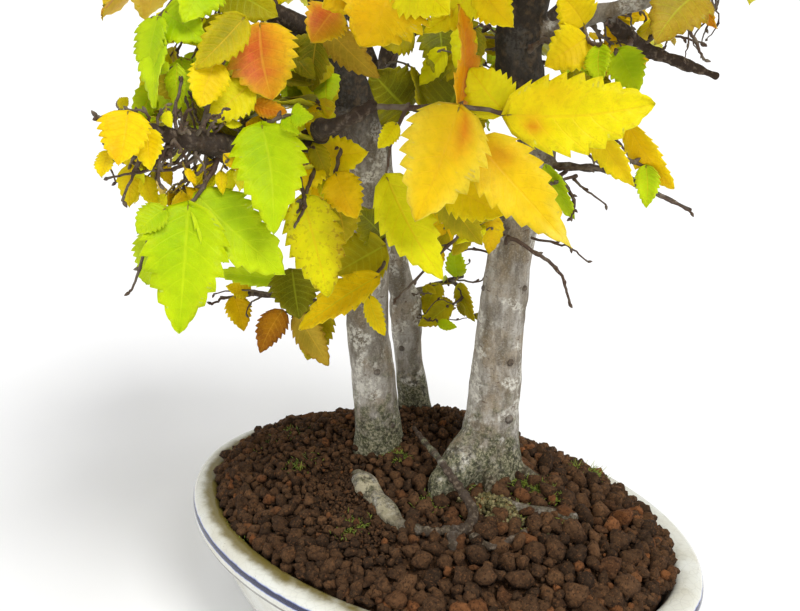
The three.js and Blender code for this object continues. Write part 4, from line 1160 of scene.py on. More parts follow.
def settle(piece: bpy.types.Object) -> None:
    """Make a piece's mesh what its modifiers give, and drop the modifiers.

    Args:
        piece: The piece.
    """
    graph = bpy.context.evaluated_depsgraph_get()
    graph.update()
    mesh = bpy.data.meshes.new_from_object(piece.evaluated_get(graph))
    piece.modifiers.clear()
    piece.data = mesh


# The soil


@dataclass
class Mound:
    """The soil's form: a flat dome with a crest towards the back, whose rim rises from front to back.

    Attributes:
        pot: The pot that it lies in.
        gap: Space between the soil and the pot's wall, in millimetres.
        dome: Height of the dome.
        power: How steep the dome's edge is.
        back_rise: How far the rim rises from the middle to the back.
        crest: Height of the crest on the dome.
        crest_x: The crest's place along the pot.
        crest_y: The crest's place across the pot.
        crest_spread: How wide the crest is.
    """

    pot: Pot
    gap: float = 0.9
    dome: float = 16.5
    power: float = 5
    back_rise: float = 2.5
    crest: float = 8
    crest_x: float = -20
    crest_y: float = 36
    crest_spread: float = 24

    @property
    def inset(self) -> float:
        """How far the soil's rim stands inside the lip's outer edge."""
        return self.pot.lip + 1.5 + self.gap

    @property
    def half_long(self) -> float:
        """Half of the mound's length."""
        return self.pot.long / 2 - self.inset

    @property
    def half_wide(self) -> float:
        """Half of the mound's width."""
        return self.pot.wide / 2 - self.inset

    def spots(self, share: Array, angle: Array, inset: Array | float = 0.0) -> tuple[Array, Array]:
        """Places on ovals: x = (a - inset) s cos q, y = (b - inset) s sin q.

        Args:
            share: Distances from the middle, as shares of the rim's.
            angle: Angles in radians.
            inset: How far the rim is drawn in, in millimetres.

        Returns:
            The places along and across the pot.
        """
        x = (self.half_long - inset) * share * np.cos(angle)
        y = (self.half_wide - inset) * share * np.sin(angle)
        return x, y

    def share(self, x: Array, y: Array) -> Array:
        """Distances from the middle, as shares of the rim's."""
        return np.hypot(x / self.half_long, y / self.half_wide)

    def height(self, x: Array, y: Array) -> Array:
        """Heights of the mound: rim + rise y/b + dome e + crest exp(-d^2/2s^2) min(1, 3e).

        Here e = 1 - rho^5, rho is the share of the rim's distance and d the distance from the crest.

        Args:
            x: Places along the pot.
            y: Places across the pot.

        Returns:
            The heights.
        """
        rho = self.share(x, y)
        away = ((x - self.crest_x) ** 2 + (y - self.crest_y) ** 2) / (2 * self.crest_spread**2)
        edge = np.maximum(0, 1 - rho**self.power)
        rise = self.back_rise * y / self.half_wide
        crest = self.crest * np.exp(-away) * np.minimum(1, edge * 3)
        return self.pot.high + rise + self.dome * edge + crest

    def seen(self, across: float, down: float, lift: float) -> Array:
        """The place at a height above the mound that shows at a picture point.

        The depth is halved in on from the front until the sight ray is as high as the mound and the lift.

        Args:
            across: Pixels from the picture's left edge.
            down: Pixels from the picture's top edge.
            lift: Height above the mound in millimetres.

        Returns:
            The place in the pot's frame.
        """

        def above(deep: float) -> float:
            """How far the sight ray is above the lifted mound."""
            point = seen(across, down, deep)
            return float(point[2] - self.height(point[0], point[1]) - lift)

        near = -self.pot.long / 2
        while above(near + 2) > 0:
            near += 2
        far = near + 2
        for _ in range(12):
            half = (near + far) / 2
            if above(half) > 0:
                near = half
            else:
                far = half
        return seen(across, down, near)


POT = Pot()
MOUND = Mound(POT)


def seen_on_soil(across: float, down: float, lift: float) -> Array:
    """The place above the mound that shows at a picture point."""
    return MOUND.seen(across, down, lift)


@dataclass
class Soil:
    """The soil: a bed of dust and crumbs, with clay granules on it that lie as close as they can.

    Attributes:
        mound: The form that the soil follows.
        rings: Rings of the bed's top.
        around: Points of each ring.
        sizes: Widths of the granules in millimetres, the coarse ones first.
        tries: How often a place is tried for each width.
        crumbs: Crumbs of dust that are strewn over the bed.
        heaped: How many of the crumbs lie on each dusty spot.
        flats: Flats that cut each lump.
        along_rim: Granules of each row along the rim.
        brown: The granules' lighter colour.
        dark: Their darker colour.
        rust: Colour of the few that are redder.
    """

    mound: Mound
    rings: int = 84
    around: int = 220
    sizes: tuple[float, ...] = (9.5, 8.2, 7.2, 6.3, 5.5, 4.7, 4.0, 3.3)
    tries: tuple[int, ...] = (160, 500, 1100, 2200, 3600, 5200, 7000, 8000)
    crumbs: int = 7600
    heaped: int = 620
    flats: int = 7
    along_rim: int = 120
    brown: Colour = (107, 77, 51)
    dark: Colour = (66, 49, 34)
    rust: Colour = (146, 92, 52)

    def __post_init__(self) -> None:
        """Find the places where fine dust lies, and how far it spreads."""
        spots = ((335, 478, 17.0), (372, 535, 13.0), (345, 505, 15.0), (548, 448, 10.0), (395, 430, 12.0))
        self.dusty = [(self.mound.seen(across, down, 0), reach) for across, down, reach in spots]

    def bed(self) -> Shape:
        """The bed: rings shrunk to the middle at the mound's height, with noise, over straight walls.

        Returns:
            The shape.
        """
        share = np.linspace(0.012, 1, self.rings)
        angle = 2 * np.pi * np.arange(self.around) / self.around
        x, y = self.mound.spots(share[:, None], angle)
        flat = np.stack([x.ravel(), y.ravel(), np.zeros(x.size)], 1)
        rough = 1.1 * lattice_noise(flat, 5.0, 3) + 0.7 * lattice_noise(flat, 1.9, 4)
        z = self.mound.height(x, y) - 1.2 + rough.reshape(x.shape)
        top = np.stack([x, y, z], -1)
        pot, floor = self.mound.pot, self.mound.pot.foot + self.mound.pot.floor + 0.35
        walls = []
        for height in (pot.high - 10, floor + 12, floor):
            inset = pot.inset_foot + 10 if height == floor else pot.inner_inset(height - 0.35)
            reach = [half - inset - self.mound.gap for half in (pot.long / 2, pot.wide / 2)]
            level = np.full_like(angle, height)
            walls.append(np.stack([reach[0] * np.cos(angle), reach[1] * np.sin(angle), level], -1))
        rings = np.concatenate([top, np.array(walls)])[::-1]
        shape = ring_shape(rings, np.array([0, 0, floor]), np.array([0, 0, z[0].mean()]))
        # The bed is tinted at half the granules' brown: painted shade in the gaps between granules.
        return shape.tinted(linear(*self.brown) * 0.5)

    def coarse(self, x: float, y: float) -> float:
        """How coarse the soil is, from 0 for dust to 1: coarse at the front right, dusty round the roots."""
        dusty = max(math.exp(-((x - s[0]) ** 2 + (y - s[1]) ** 2) / (2 * w**2)) for s, w in self.dusty)
        return (0.62 + 0.38 * np.clip((x - y) / 70, -1, 1)) * (1 - 0.95 * dusty)

    def places(self, dice: np.random.Generator) -> Array:
        """Places and widths for granules: the coarse ones come first, and none lies on one that is there.

        Args:
            dice: Random numbers.

        Returns:
            Rows of x, y and width.
        """
        kept = np.zeros((0, 3))
        passes = [(size, tries, 0.0) for size, tries in zip(self.sizes, self.tries)]
        passes += [(size, 1500, 0.72) for size in (6.0, 5.0, 4.2, 3.4)]
        for size, tries, inner in passes:
            reach = np.sqrt(inner + (1 - inner) * dice.random(tries))
            angle = 2 * np.pi * dice.random(tries)
            x, y = self.mound.spots(reach, angle, size * 0.22)
            luck = dice.random(tries)
            for k in range(tries):
                limit = 2.6 + 7.6 * self.coarse(x[k], y[k])
                if size > limit or (size > 6 and luck[k] > 0.7):
                    continue
                near = (kept[:, 0] - x[k]) ** 2 + (kept[:, 1] - y[k]) ** 2
                if not np.any(near < (0.405 * (kept[:, 2] + size)) ** 2):
                    kept = np.vstack([kept, [x[k], y[k], size]])
        rows = [self.row(share, dice) for share in (1.0, 1.012, 0.985, 0.965, 0.93, 0.89)]
        return np.vstack([kept, *rows])

    def row(self, share: float, dice: np.random.Generator) -> Array:
        """A row of granules along the rim, where the mound is steep.

        Args:
            share: Its distance from the middle, as a share of the rim's.
            dice: Random numbers.

        Returns:
            Rows of x, y and width.
        """
        count = self.along_rim
        angle = 2 * np.pi * (np.arange(count) + dice.random(count)) / count
        x, y = self.mound.spots(share + dice.uniform(-0.02, 0.012, count), angle)
        return np.stack([x, y, dice.uniform(3.4, 6.2, count)], 1)

    def lump(self, rows: int, around: int) -> Shape:
        """One round lump of radius 1 with poles: (sin p cos q, sin p sin q, cos p).

        Args:
            rows: Rings of each lump.
            around: Points of each ring.

        Returns:
            The shape.
        """
        polar = np.pi * (np.arange(rows) + 1) / (rows + 1)
        angle = 2 * np.pi * np.arange(around) / around
        rings = np.stack(
            [
                np.sin(polar)[:, None] * np.cos(angle),
                np.sin(polar)[:, None] * np.sin(angle),
                np.broadcast_to(np.cos(polar)[:, None], (rows, around)),
            ],
            -1,
        )[::-1]
        return ring_shape(rings, np.array([0, 0, -1.0]), np.array([0, 0, 1.0]))

    def strewn(
        self, places: Array, heights: Array, rows: int, around: int, dice: np.random.Generator
    ) -> Shape:
        """Lumps at places: each point is c + R(s r u), with r = min(1.15, d / (n . u)) (1.06 + 0.3 noise).

        Here s is a squash, and the nearest of a lump's flats, d from its middle with normal n, cuts its
        roundness. Each lump's colour is darkened towards its underside as painted shade.

        Args:
            places: Rows of x, y and width.
            heights: The height of each lump's middle.
            rows: Rings of a lump.
            around: Points of each ring.
            dice: Random numbers.

        Returns:
            All lumps as one shape.
        """
        lump = self.lump(rows, around)
        count, size = len(places), len(lump.points)
        axes = np.linalg.qr(dice.normal(size=(count, 3, 3)))[0]
        axes[:, :, 0] *= np.sign(np.linalg.det(axes))[:, None]
        squash = 1 + (dice.random((count, 1, 3)) - 0.5) * np.array([0.5, 0.45, 0.35])
        where = lump.points[None] + 9.0 * np.arange(count)[:, None, None]
        dents = lattice_noise(where.reshape(-1, 3), 0.6, 11).reshape(count, size, 1)
        flats = unit(dice.normal(size=(count, self.flats, 3)))
        facing = np.maximum(np.einsum("npk,vk->npv", flats, lump.points), 0.05)
        cut = np.min(dice.uniform(0.55, 0.85, (count, self.flats, 1)) / facing, axis=1)[..., None]
        local = lump.points[None] * squash * np.minimum(1.15, cut) * (1.06 + 0.3 * dents)
        world = np.einsum("nij,nkj->nki", axes, local) * (places[:, 2] / 2)[:, None, None]
        # Painted shade: a lump's colour falls to 0.3 of itself towards its underside.
        low = 0.3 + 0.7 * np.clip(0.62 + 1.3 * world[:, :, 2:] / places[:, 2, None, None], 0, 1)
        world += np.stack([places[:, 0], places[:, 1], heights], 1)[:, None]
        starts = (np.arange(count) * size)[:, None, None]
        shade = dice.random((count, 1))
        tint = linear(*self.dark) * (1 - shade) + linear(*self.brown) * shade
        chance = 0.06 + 0.07 * (places[:, :1] > 10)
        rusty = (dice.random((count, 1)) < chance) * dice.random((count, 1)) * 0.85
        tint = (tint * (1 - rusty) + linear(*self.rust) * rusty) * (0.8 + 0.45 * dice.random((count, 1)))
        return Shape(
            world.reshape(-1, 3),
            (lump.quads[None] + starts).reshape(-1, 4),
            (lump.tris[None] + starts).reshape(-1, 3),
            tint=np.concatenate([tint[:, None] * low, np.zeros((count, size, 1))], -1).reshape(-1, 4),
        )

    def build(self, clay: bpy.types.Material, dust: bpy.types.Material) -> list[bpy.types.Object]:
        """Make the bed, the granules and the crumbs.

        Args:
            clay: The granules' finish.
            dust: The bed's finish.

        Returns:
            The three pieces.
        """
        dice = np.random.default_rng(21)
        bed = declare(to_object("soil_bed", self.bed(), [dust]), ["soil"])
        places = self.places(dice)
        steep = np.clip((self.mound.share(places[:, 0], places[:, 1]) - 0.84) / 0.16, 0, 1)
        lift = 0.12 * places[:, 2] + 2.2 * (dice.random(len(places)) - 0.35) + 1.6 * steep
        heights = self.mound.height(places[:, 0], places[:, 1]) + lift
        stones = to_object("granules", self.strewn(places, heights, 6, 9, dice), [clay])
        reach = np.sqrt(dice.random(self.crumbs)) * 0.99
        angle = 2 * np.pi * dice.random(self.crumbs)
        x, y = self.mound.spots(reach, angle)
        for k, (middle, spread) in enumerate(self.dusty):
            near = slice(k * self.heaped, (k + 1) * self.heaped)
            x[near], y[near] = middle[:2, None] + dice.normal(size=(2, self.heaped)) * spread * 0.75
        inside = self.mound.share(x, y) < 0.98
        small = np.stack([x, y, 0.8 + 1.7 * dice.random(self.crumbs) ** 2], 1)[inside]
        low = self.mound.height(small[:, 0], small[:, 1]) - 0.6 + 1.4 * dice.random(len(small))
        crumbs = to_object("crumbs", self.strewn(small, low, 2, 5, dice), [clay])
        return [bed, declare(stones), declare(crumbs)]


# The trees


Limb = list[tuple[Array, float]]

def shown(*rows: tuple[float, float, float, float]) -> Limb:
    """Points of a limb that show at picture points, from rows of across, down, depth and radius."""
    return [(seen(*place), radius) for *place, radius in rows]


def placed(*rows: tuple[float, float, float, float]) -> Limb:
    """Points of a limb in the planting's frame, from rows of x, y, z and radius."""
    return [(at(*place), radius) for *place, radius in rows]


def on_soil(*rows: tuple[float, float, float, float]) -> Limb:
    """Points of a root, from rows of a picture point, height above the soil and radius."""
    return [(seen_on_soil(*place), radius) for *place, radius in rows]


# Trunks and limbs of the three trees.
LIMBS: dict[str, Limb] = {
    "left_trunk": placed((-24, 26, 50, 11.5))
    + shown(
        (379, 452, 26, 10.9), (379, 436, 26, 10.3), (374, 380, 25, 9.8), (367, 315, 24, 9.1),
        (371, 240, 22, 8.5), (368, 170, 20, 8.2), (352, 105, 16, 8.8), (335, 45, 12, 6.8),
        (322, -15, 10, 5.6),
    )
    + placed((-50, 8, 320, 4.2), (-54, 4, 350, 2.4), (-52, 2, 372, 1.3)),
    "left_front": shown(
        (354, 120, 17, 4.8), (322, 134, -10, 4.4), (290, 150, -32, 4.1), (250, 149, -50, 3),
        (205, 142, -63, 3.2), (165, 134, -72, 2.4), (140, 126, -75, 1.6),
    ),
    "left_stub": shown(
        (356, 146, 18, 3), (338, 138, -12, 3.6), (318, 130, -40, 3.6), (345, 121, -50, 2.8),
        (372, 106, -50, 2.1),
    ),
    "left_high": shown(
        (337, 50, 12, 4.2), (292, 22, -2, 3.4), (250, 6, -16, 2.8), (205, -14, -30, 2),
        (168, -30, -38, 1.2),
    ),
    "left_low": shown((362, 300, 24, 2.4), (325, 303, 30, 1.9), (285, 297, 36, 1.5), (240, 292, 40, 1)),
    "left_back": placed((-34, 17, 246, 3.8), (-56, 36, 266, 3), (-82, 52, 280, 2.1), (-106, 58, 288, 1.2)),
    "left_top_back": placed((-48, 9, 308, 2.8), (-52, 36, 328, 2.1), (-58, 60, 342, 1.2)),
    "left_top_front": placed((-47, 9, 300, 2.9), (-62, -18, 320, 2.1), (-78, -42, 334, 1.2)),
    "back_trunk": placed((-5, 60, 52, 8.4))
    + shown(
        (415, 412, 60, 7.7), (408, 350, 59, 6.8), (406, 305, 58, 7.9), (401, 284, 57, 6.1),
        (391, 240, 55, 5.5), (383, 190, 53, 5.1), (381, 140, 52, 4.7), (385, 90, 54, 4.1),
        (392, 40, 58, 3.4),
    )
    + placed((-8, 64, 284, 2.8), (-4, 70, 312, 2), (0, 72, 338, 1.2)),
    "back_right": shown((383, 120, 53, 2.5)) + placed((6, 70, 250, 2), (26, 84, 262, 1.2)),
    "back_left": shown((384, 100, 53, 2.5)) + placed((-34, 76, 266, 2), (-60, 96, 278, 1.2)),
    "back_low": shown((404, 296, 57, 1.8), (436, 285, 70, 1.4), (462, 276, 80, 1)),
    "right_trunk": placed((26, 8, 50, 17))
    + shown(
        (486, 474, 8, 15.5), (488, 455, 8, 14), (491, 430, 8, 12.4), (494, 400, 8, 11.3),
        (498, 350, 9, 10.4), (504, 300, 10, 9.8), (509, 262, 10, 9.4), (519, 215, 11, 8.7),
        (533, 168, 12, 7.8), (536, 138, 12, 7.9), (523, 84, 12, 9.2), (520, 40, 12, 9.2),
        (530, 0, 10, 8.4), (536, -40, 8, 6.8),
    )
    + placed((40, 6, 326, 5.4), (36, 2, 354, 3.8), (38, -2, 378, 2.3), (36, -2, 394, 1.3)),
    "right_arm": shown(
        (526, 36, 12, 4.9), (560, 28, 6, 4.3), (600, 13, 0, 3.7), (640, 2, -6, 3.4), (672, -8, -9, 2.4),
    )
    + placed((108, -10, 290, 1.3)),
    "right_low": shown((604, 14, 0, 2.9), (640, 46, 6, 2.5), (680, 62, 6, 2.1), (716, 76, 4, 1.3)),
    "right_mid": shown(
        (534, 164, 12, 2.1), (574, 167, 2, 1.6), (612, 171, -6, 1.4), (650, 190, -12, 1),
        (690, 210, -16, 0.7),
    ),
    "right_back": placed((34, 12, 262, 4.2), (56, 36, 280, 3.3), (82, 56, 296, 2.2), (102, 66, 304, 1.2)),
    "right_front": placed((38, 10, 290, 3.8), (32, -20, 308, 3), (26, -50, 320, 2.2), (22, -76, 326, 1.2)),
    "right_top": placed((38, 5, 326, 3), (60, -8, 344, 2.2), (84, -18, 356, 1.2)),
    "centre_back": placed((36, 9, 300, 3.3), (16, 42, 322, 2.4), (2, 66, 336, 1.2)),
}

# Roots of the right-hand tree: buttresses that flare into the soil, and the roots that lie on it.
ROOTS: dict[str, Limb] = {
    "left_buttress": placed((24, 8, 100, 8), (14, -2, 90, 8.5), (6, -9, 82, 7.2), (0, -15, 74, 4)),
    "front_buttress": placed((26, 4, 92, 8), (25, -9, 83, 3), (26, -20, 76, 3)),
    "right_buttress": placed((28, 8, 92, 8), (40, 2, 82, 3), (52, -3, 74, 3.5)),
    "bark_root": on_soil(
        (357, 476, -2, 3.6), (366, 486, 2, 5.2), (376, 498, 1, 4.3), (387, 511, 1.5, 5),
        (401, 526, 0.5, 3.4), (419, 530, 2, 2.1), (438, 532, 2, 1.7), (452, 528, 1, 2),
    ),
    "crossing_root": shown(
        (414, 428, 22, 0.9), (423, 440, 14, 1.3), (440, 460, -7, 1.6), (451, 476, -15, 1.7),
    )
    + on_soil(
        (461, 490, 9, 1.9), (473, 511, 5, 2), (468, 527, 3, 2.1), (455, 532, 2, 2.6), (453, 546, 1, 2.4),
        (458, 562, -3, 1.8),
    ),
    "knot": on_soil((486, 504, -2, 3.4), (474, 520, -1, 2.6), (466, 540, -3, 2.4)),
    "cut_root": on_soil((492, 500, -1, 3.4), (516, 510, 0.5, 3.5), (546, 513, 1, 3), (573, 517, 1.5, 2.8)),
    "thin_root": on_soil(
        (468, 532, 0, 2.6), (490, 547, 1.5, 1.5), (512, 539, 1.5, 1.4), (533, 527, -1, 1.2),
    ),
}

# Bare wood that is thinner than the limbs: each piece grows from a limb's side and has its first radius.
SNAGS: dict[str, list[tuple[float, list[Array]]]] = {
    "tree_left": [
        (1.0, picture((165, 134, -72), (140, 127, -74), (118, 118, -76), (97, 117, -78))),
        (0.8, picture((190, 140, -66), (160, 150, -70), (139, 160, -73), (123, 201, -76))),
        (0.7, picture((205, 143, -62), (196, 158, -66), (176, 168, -68), (140, 172, -72), (108, 178, -75))),
        (0.8, picture((236, 146, -54), (222, 158, -58), (206, 164, -62), (200, 172, -64))),
        (0.7, picture((250, 148, -50), (240, 132, -54), (225, 124, -58), (214, 126, -60))),
        (0.9, picture((290, 150, -32), (300, 180, -44), (304, 206, -52), (294, 228, -56))),
        (0.6, picture((150, 130, -74), (146, 112, -76), (128, 110, -78))),
        (0.6, picture((285, 297, 36), (262, 292, 36), (238, 290, 38), (214, 294, 40))),
        (0.6, picture((325, 303, 30), (300, 300, 30), (282, 296, 32), (270, 286, 34))),
        (0.5, picture((262, 296, 38), (250, 304, 36), (246, 314, 34))),
    ],
    "tree_back": [
        (0.7, picture((404, 296, 57), (424, 290, 64), (450, 280, 70), (476, 282, 74), (486, 276, 76))),
        (0.6, picture((385, 90, 54), (388, 64, 40), (407, 65, 34), (426, 81, 30))),
        (0.5, picture((450, 280, 70), (462, 270, 68), (470, 262, 66))),
        (0.6, picture((383, 190, 53), (396, 206, 48), (404, 222, 44))),
    ],
    "tree_right": [
        (0.7, picture((536, 140, 10), (567, 129, 0), (583, 148, -8), (594, 159, -12), (612, 171, -16),
                      (635, 186, -18), (672, 202, -20), (691, 212, -21))),
        (0.8, picture((533, 166, 10), (560, 168, 0), (590, 168, -8), (608, 171, -12))),
        (0.7, picture((576, 176, -4), (556, 182, -8), (544, 189, -10))),
        (0.6, picture((574, 179, -4), (585, 189, -8), (606, 205, -10))),
        (0.6, picture((563, 184, -6), (572, 195, -8), (574, 209, -10), (571, 217, -11))),
        (0.6, picture((520, 236, 8), (555, 243, -2), (571, 248, -6), (587, 262, -8))),
        (0.6, picture((567, 129, 0), (590, 130, -8), (606, 128, -12), (631, 123, -16))),
        (0.6, picture((594, 159, -12), (615, 141, -14), (631, 159, -16), (649, 168, -17))),
        (0.8, picture((519, 205, 10), (482, 222, -6), (448, 246, -14), (415, 280, -18), (395, 300, -20))),
        (1.3, picture((524, 60, 10), (532, 48, 2), (544, 40, -4), (553, 39, -7))),
        (0.9, picture((672, -8, -9), (684, 20, -8), (696, 42, -8), (704, 60, -8))),
        (0.7, picture((640, 46, 6), (662, 34, 2), (684, 38, 0), (704, 44, -2))),
        (0.6, picture((640, 2, -6), (654, -6, -10), (664, -14, -12))),
    ],
}

# Scars of lost branches: the limb, the picture point and the radius.
SCARS: dict[str, list[tuple[str, tuple[float, float], float]]] = {
    "tree_left": [
        ("left_trunk", (377, 372), 1.5),
        ("left_trunk", (362, 300), 1.8),
        ("left_trunk", (392, 425), 1.3),
    ],
    "tree_back": [("back_trunk", (402, 348), 1.4)],
    "tree_right": [
        ("right_trunk", (498, 228), 3.0),
        ("right_trunk", (510, 362), 1.5),
        ("right_trunk", (509, 419), 1.9),
        ("right_trunk", (524, 288), 1.2),
        ("right_trunk", (484, 288), 1.2),
        ("right_trunk", (534, 96), 2.6),
    ],
}


class Wood(IntEnum):
    """What a limb or a root is to its bark."""

    PLAIN = 0
    PALE = 1
    LYING = 2
    STUMP = 3
    CROSSING = 4

    @classmethod
    def of(cls, name: str, pale: Sequence[str]) -> "Wood":
        """The wood of a limb or a root.

        Args:
            name: Its name.
            pale: The limbs that stay pale however high they are.

        Returns:
            The wood.
        """
        known = {"bark_root": cls.STUMP, "crossing_root": cls.CROSSING}
        if name in known:
            return known[name]
        if name in ROOTS and "buttress" not in name:
            return cls.LYING
        return cls.PALE if name in pale else cls.PLAIN


@dataclass
class Tree:
    """One tree: trunks and thick limbs that flow into each other, thin limbs, and bare twigs with buds.

    Attributes:
        name: The node that it stands for.
        limbs: The limbs' names.
        roots: Whether it has the surface roots.
        voxel: Size of the cells in which the thick wood is made one, in millimetres.
        thick: The radius above which a limb is thick wood.
        pale: Limbs whose bark stays pale however high they are.
        dark_and_shade_height: The height in millimetres above which the bark darkens.
        gnarl: The height above which the wood is rougher.
    """

    name: str
    limbs: tuple[str, ...]
    roots: bool = False
    voxel: float = 0.95
    thick: float = 2.1
    pale: tuple[str, ...] = ("right_arm",)
    dark_and_shade_height: float = 212
    gnarl: float = 205

    def lines(self) -> list[Limb]:
        """The middles and radii of all its limbs and roots."""
        lines = [LIMBS[name] for name in self.limbs]
        return lines + list(ROOTS.values()) if self.roots else lines

    def curve(self, limb: Limb, steps: int) -> tuple[Array, Array]:
        """A limb's curve and its radii."""
        return smooth_path(middle_of(limb), np.array([radius for _, radius in limb]), steps)

    def flared(self, points: Array, radii: Array) -> Array:
        """Radii over 6 mm swell where the limb enters the soil: r (1 + 0.16 exp(-h/7)) at the height h."""
        above = np.maximum(0, points[:, 2] - MOUND.height(points[:, 0], points[:, 1]))
        return radii * (1 + 0.16 * np.exp(-above / 7.0) * (radii > 6))

    def core(self) -> bpy.types.Object:
        """The thick wood, made one surface of small cells and smoothed.

        Returns:
            The wood as one object.
        """
        rods = []
        for limb in self.lines():
            points, radii = self.curve(limb, 6)
            radii = self.flared(points, radii)
            for run in runs_of(radii >= self.thick - 0.3):
                rods.append(tube(points[run], radii[run], 28 if radii[0] > 5 else 14))
        core = to_object(f"{self.name}_core", joined(rods), [])
        cells = core.modifiers.new("cells", "REMESH")
        cells.mode = "VOXEL"
        cells.voxel_size = self.voxel * MM
        soften = core.modifiers.new("soften", "SMOOTH")
        soften.factor = 0.5
        soften.iterations = 5
        settle(core)
        return core

    def skin(self, core: bpy.types.Object) -> Shape:
        """The thick wood's surface with lumps along its normals: p + n (0.5 a + 0.22 b + 0.1 c).

        Args:
            core: The thick wood.

        Returns:
            The shape, a, b and c being noise from coarse to fine, which is stronger up high.
        """
        mesh = core.data
        points, normals = np.zeros(len(mesh.vertices) * 3), np.zeros(len(mesh.vertices) * 3)
        mesh.vertices.foreach_get("co", points)
        mesh.vertices.foreach_get("normal", normals)
        points = points.reshape(-1, 3) / MM - POT_MIDDLE
        normals = normals.reshape(-1, 3)
        lumps = 0.5 * lattice_noise(points, 13.0, 5) + 0.22 * lattice_noise(points, 4.5, 6)
        lumps += 0.1 * lattice_noise(points * np.array([1, 1, 0.35]), 1.6, 7)
        loops = np.zeros(len(mesh.loops), int)
        mesh.loops.foreach_get("vertex_index", loops)
        totals = np.zeros(len(mesh.polygons), int)
        mesh.polygons.foreach_get("loop_total", totals)
        starts = np.cumsum(totals) - totals
        quads = loops[starts[totals == 4][:, None] + np.arange(4)]
        tris = loops[starts[totals == 3][:, None] + np.arange(3)]
        lumps *= 1 + 1.2 * np.clip((points[:, 2] - self.gnarl) / 30, 0, 1)
        return Shape(points + normals * lumps[:, None], quads, tris)

    def marks(self, points: Array) -> Array:
        """The bark's marks at points: how thick its limb is, how dark it is up high, partly darker bark and
        partly painted shade from the crown, how mossy, and how bare as a stump.

        Args:
            points: Points in the pot's frame.

        Returns:
            The tint's rows.
        """
        middles, radii, kinds = [], [], []
        for name, limb in zip([*self.limbs, *(ROOTS if self.roots else ())], self.lines()):
            curve, width = self.curve(limb, 3)
            middles.append(curve)
            radii.append(width)
            kinds.append(np.full(len(curve), int(Wood.of(name, self.pale))))
        middle, radius, sorts = np.vstack(middles), np.concatenate(radii), np.concatenate(kinds)
        thick, kind = np.zeros(len(points)), np.zeros(len(points), int)
        for part in np.array_split(np.arange(len(points)), max(1, len(points) // 4000)):
            away = np.linalg.norm(points[part, None] - middle[None], axis=2) / radius[None]
            nearest = np.argmin(away, axis=1)
            thick[part], kind[part] = radius[nearest], sorts[nearest]
        above = points[:, 2] - MOUND.height(points[:, 0], points[:, 1])
        # Darkening up high, partly darker bark and partly painted shade from the crown: pale limbs get less,
        # the crossing root 0.7 for its dark bark.
        high = np.clip((points[:, 2] - self.dark_and_shade_height) / 30, 0, 1) * np.where(kind == Wood.PALE, 0.4, 1.0)
        high = np.where(kind == Wood.CROSSING, 0.7, high)
        mossy = np.exp(-np.maximum(0, above) / 20.0) * np.where(kind >= Wood.LYING, 0.5, 1.0)
        full = np.where(kind == Wood.PALE, 1.0, np.clip((thick - 1.4) / 4.6, 0, 1))
        along = (seen_on_soil(392, 505, 0)[:2] - points[:, :2]) @ VIEW_RIGHT
        bare = (kind == Wood.STUMP) * np.clip(0.5 + along / 14, 0.12, 1)
        return np.stack([full, high, mossy, bare], 1)

    def scar(self, limb: Limb, spot: tuple[float, float], radius: float) -> Shape:
        """A round scar where a sight ray meets a limb: a low ring of dark bark with a hollow middle.

        Args:
            limb: The limb.
            spot: The picture point.
            radius: The scar's radius in millimetres.

        Returns:
            The closed ring.
        """
        points, radii = self.curve(limb, 8)
        ray = np.array([seen(*spot, deep) for deep in np.arange(-60.0, 90.0, 0.5)])
        away = np.linalg.norm(ray[:, None] - points[None], axis=2) - radii[None]
        hit = int(np.argmax(away.min(1) <= 0))
        place = int(np.argmin(away[hit]))
        out = unit(ray[hit] - points[place])
        steps = radii[place] + np.array([-2.2, 0.0, 0.5, 0.75, 0.6, 0.1, -0.1])
        widths = radius * np.array([1.0, 1.05, 0.95, 0.75, 0.58, 0.4, 0.12])
        ring = tube(points[place] + out * steps[:, None], widths, 18, rounding=False)
        return ring.tinted(np.array([0.25, 0.25, 0.1]))

    def build(self, bark: bpy.types.Material, twig: bpy.types.Material) -> bpy.types.Object:
        """Make the tree.

        Args:
            bark: Finish of trunks and limbs.
            twig: Finish of bare twigs and buds.

        Returns:
            The tree as one piece.
        """
        dice = np.random.default_rng(len(self.name))
        core = self.core()
        wood = self.skin(core)
        bpy.data.objects.remove(core)
        parts = [wood]
        for limb in self.lines():
            points, radii = self.curve(limb, 7)
            for run in runs_of(radii <= self.thick + 0.6):
                swell = 1 + 0.2 * np.sin(np.arange(len(points))[run] * 1.7 + len(points))
                parts.append(tube(points[run], radii[run] * swell, 10))
        wood = joined(parts)
        wood.tint = self.marks(wood.points)
        for name, spot, radius in SCARS[self.name]:
            wood = joined([wood, self.scar(LIMBS[name], spot, radius)])
        for radius, points in SNAGS[self.name]:
            wood = joined([wood, budded_twig(np.array(points), radius, dice).finished(1)])
        return declare(to_object(f"{self.name}_wood", wood, [bark, twig]), [self.name])


def middle_of(limb: Limb) -> Array:
    """The points of a limb's middle, as rows."""
    return np.array([point for point, _ in limb])


def runs_of(wanted: Array, least: int = 4) -> list[slice]:
    """The stretches of a row in which every entry is wanted, at least so many entries long."""
    edges = np.flatnonzero(np.diff(np.concatenate([[0], wanted.astype(int), [0]])))
    return [slice(a, b) for a, b in edges.reshape(-1, 2) if b - a >= least]


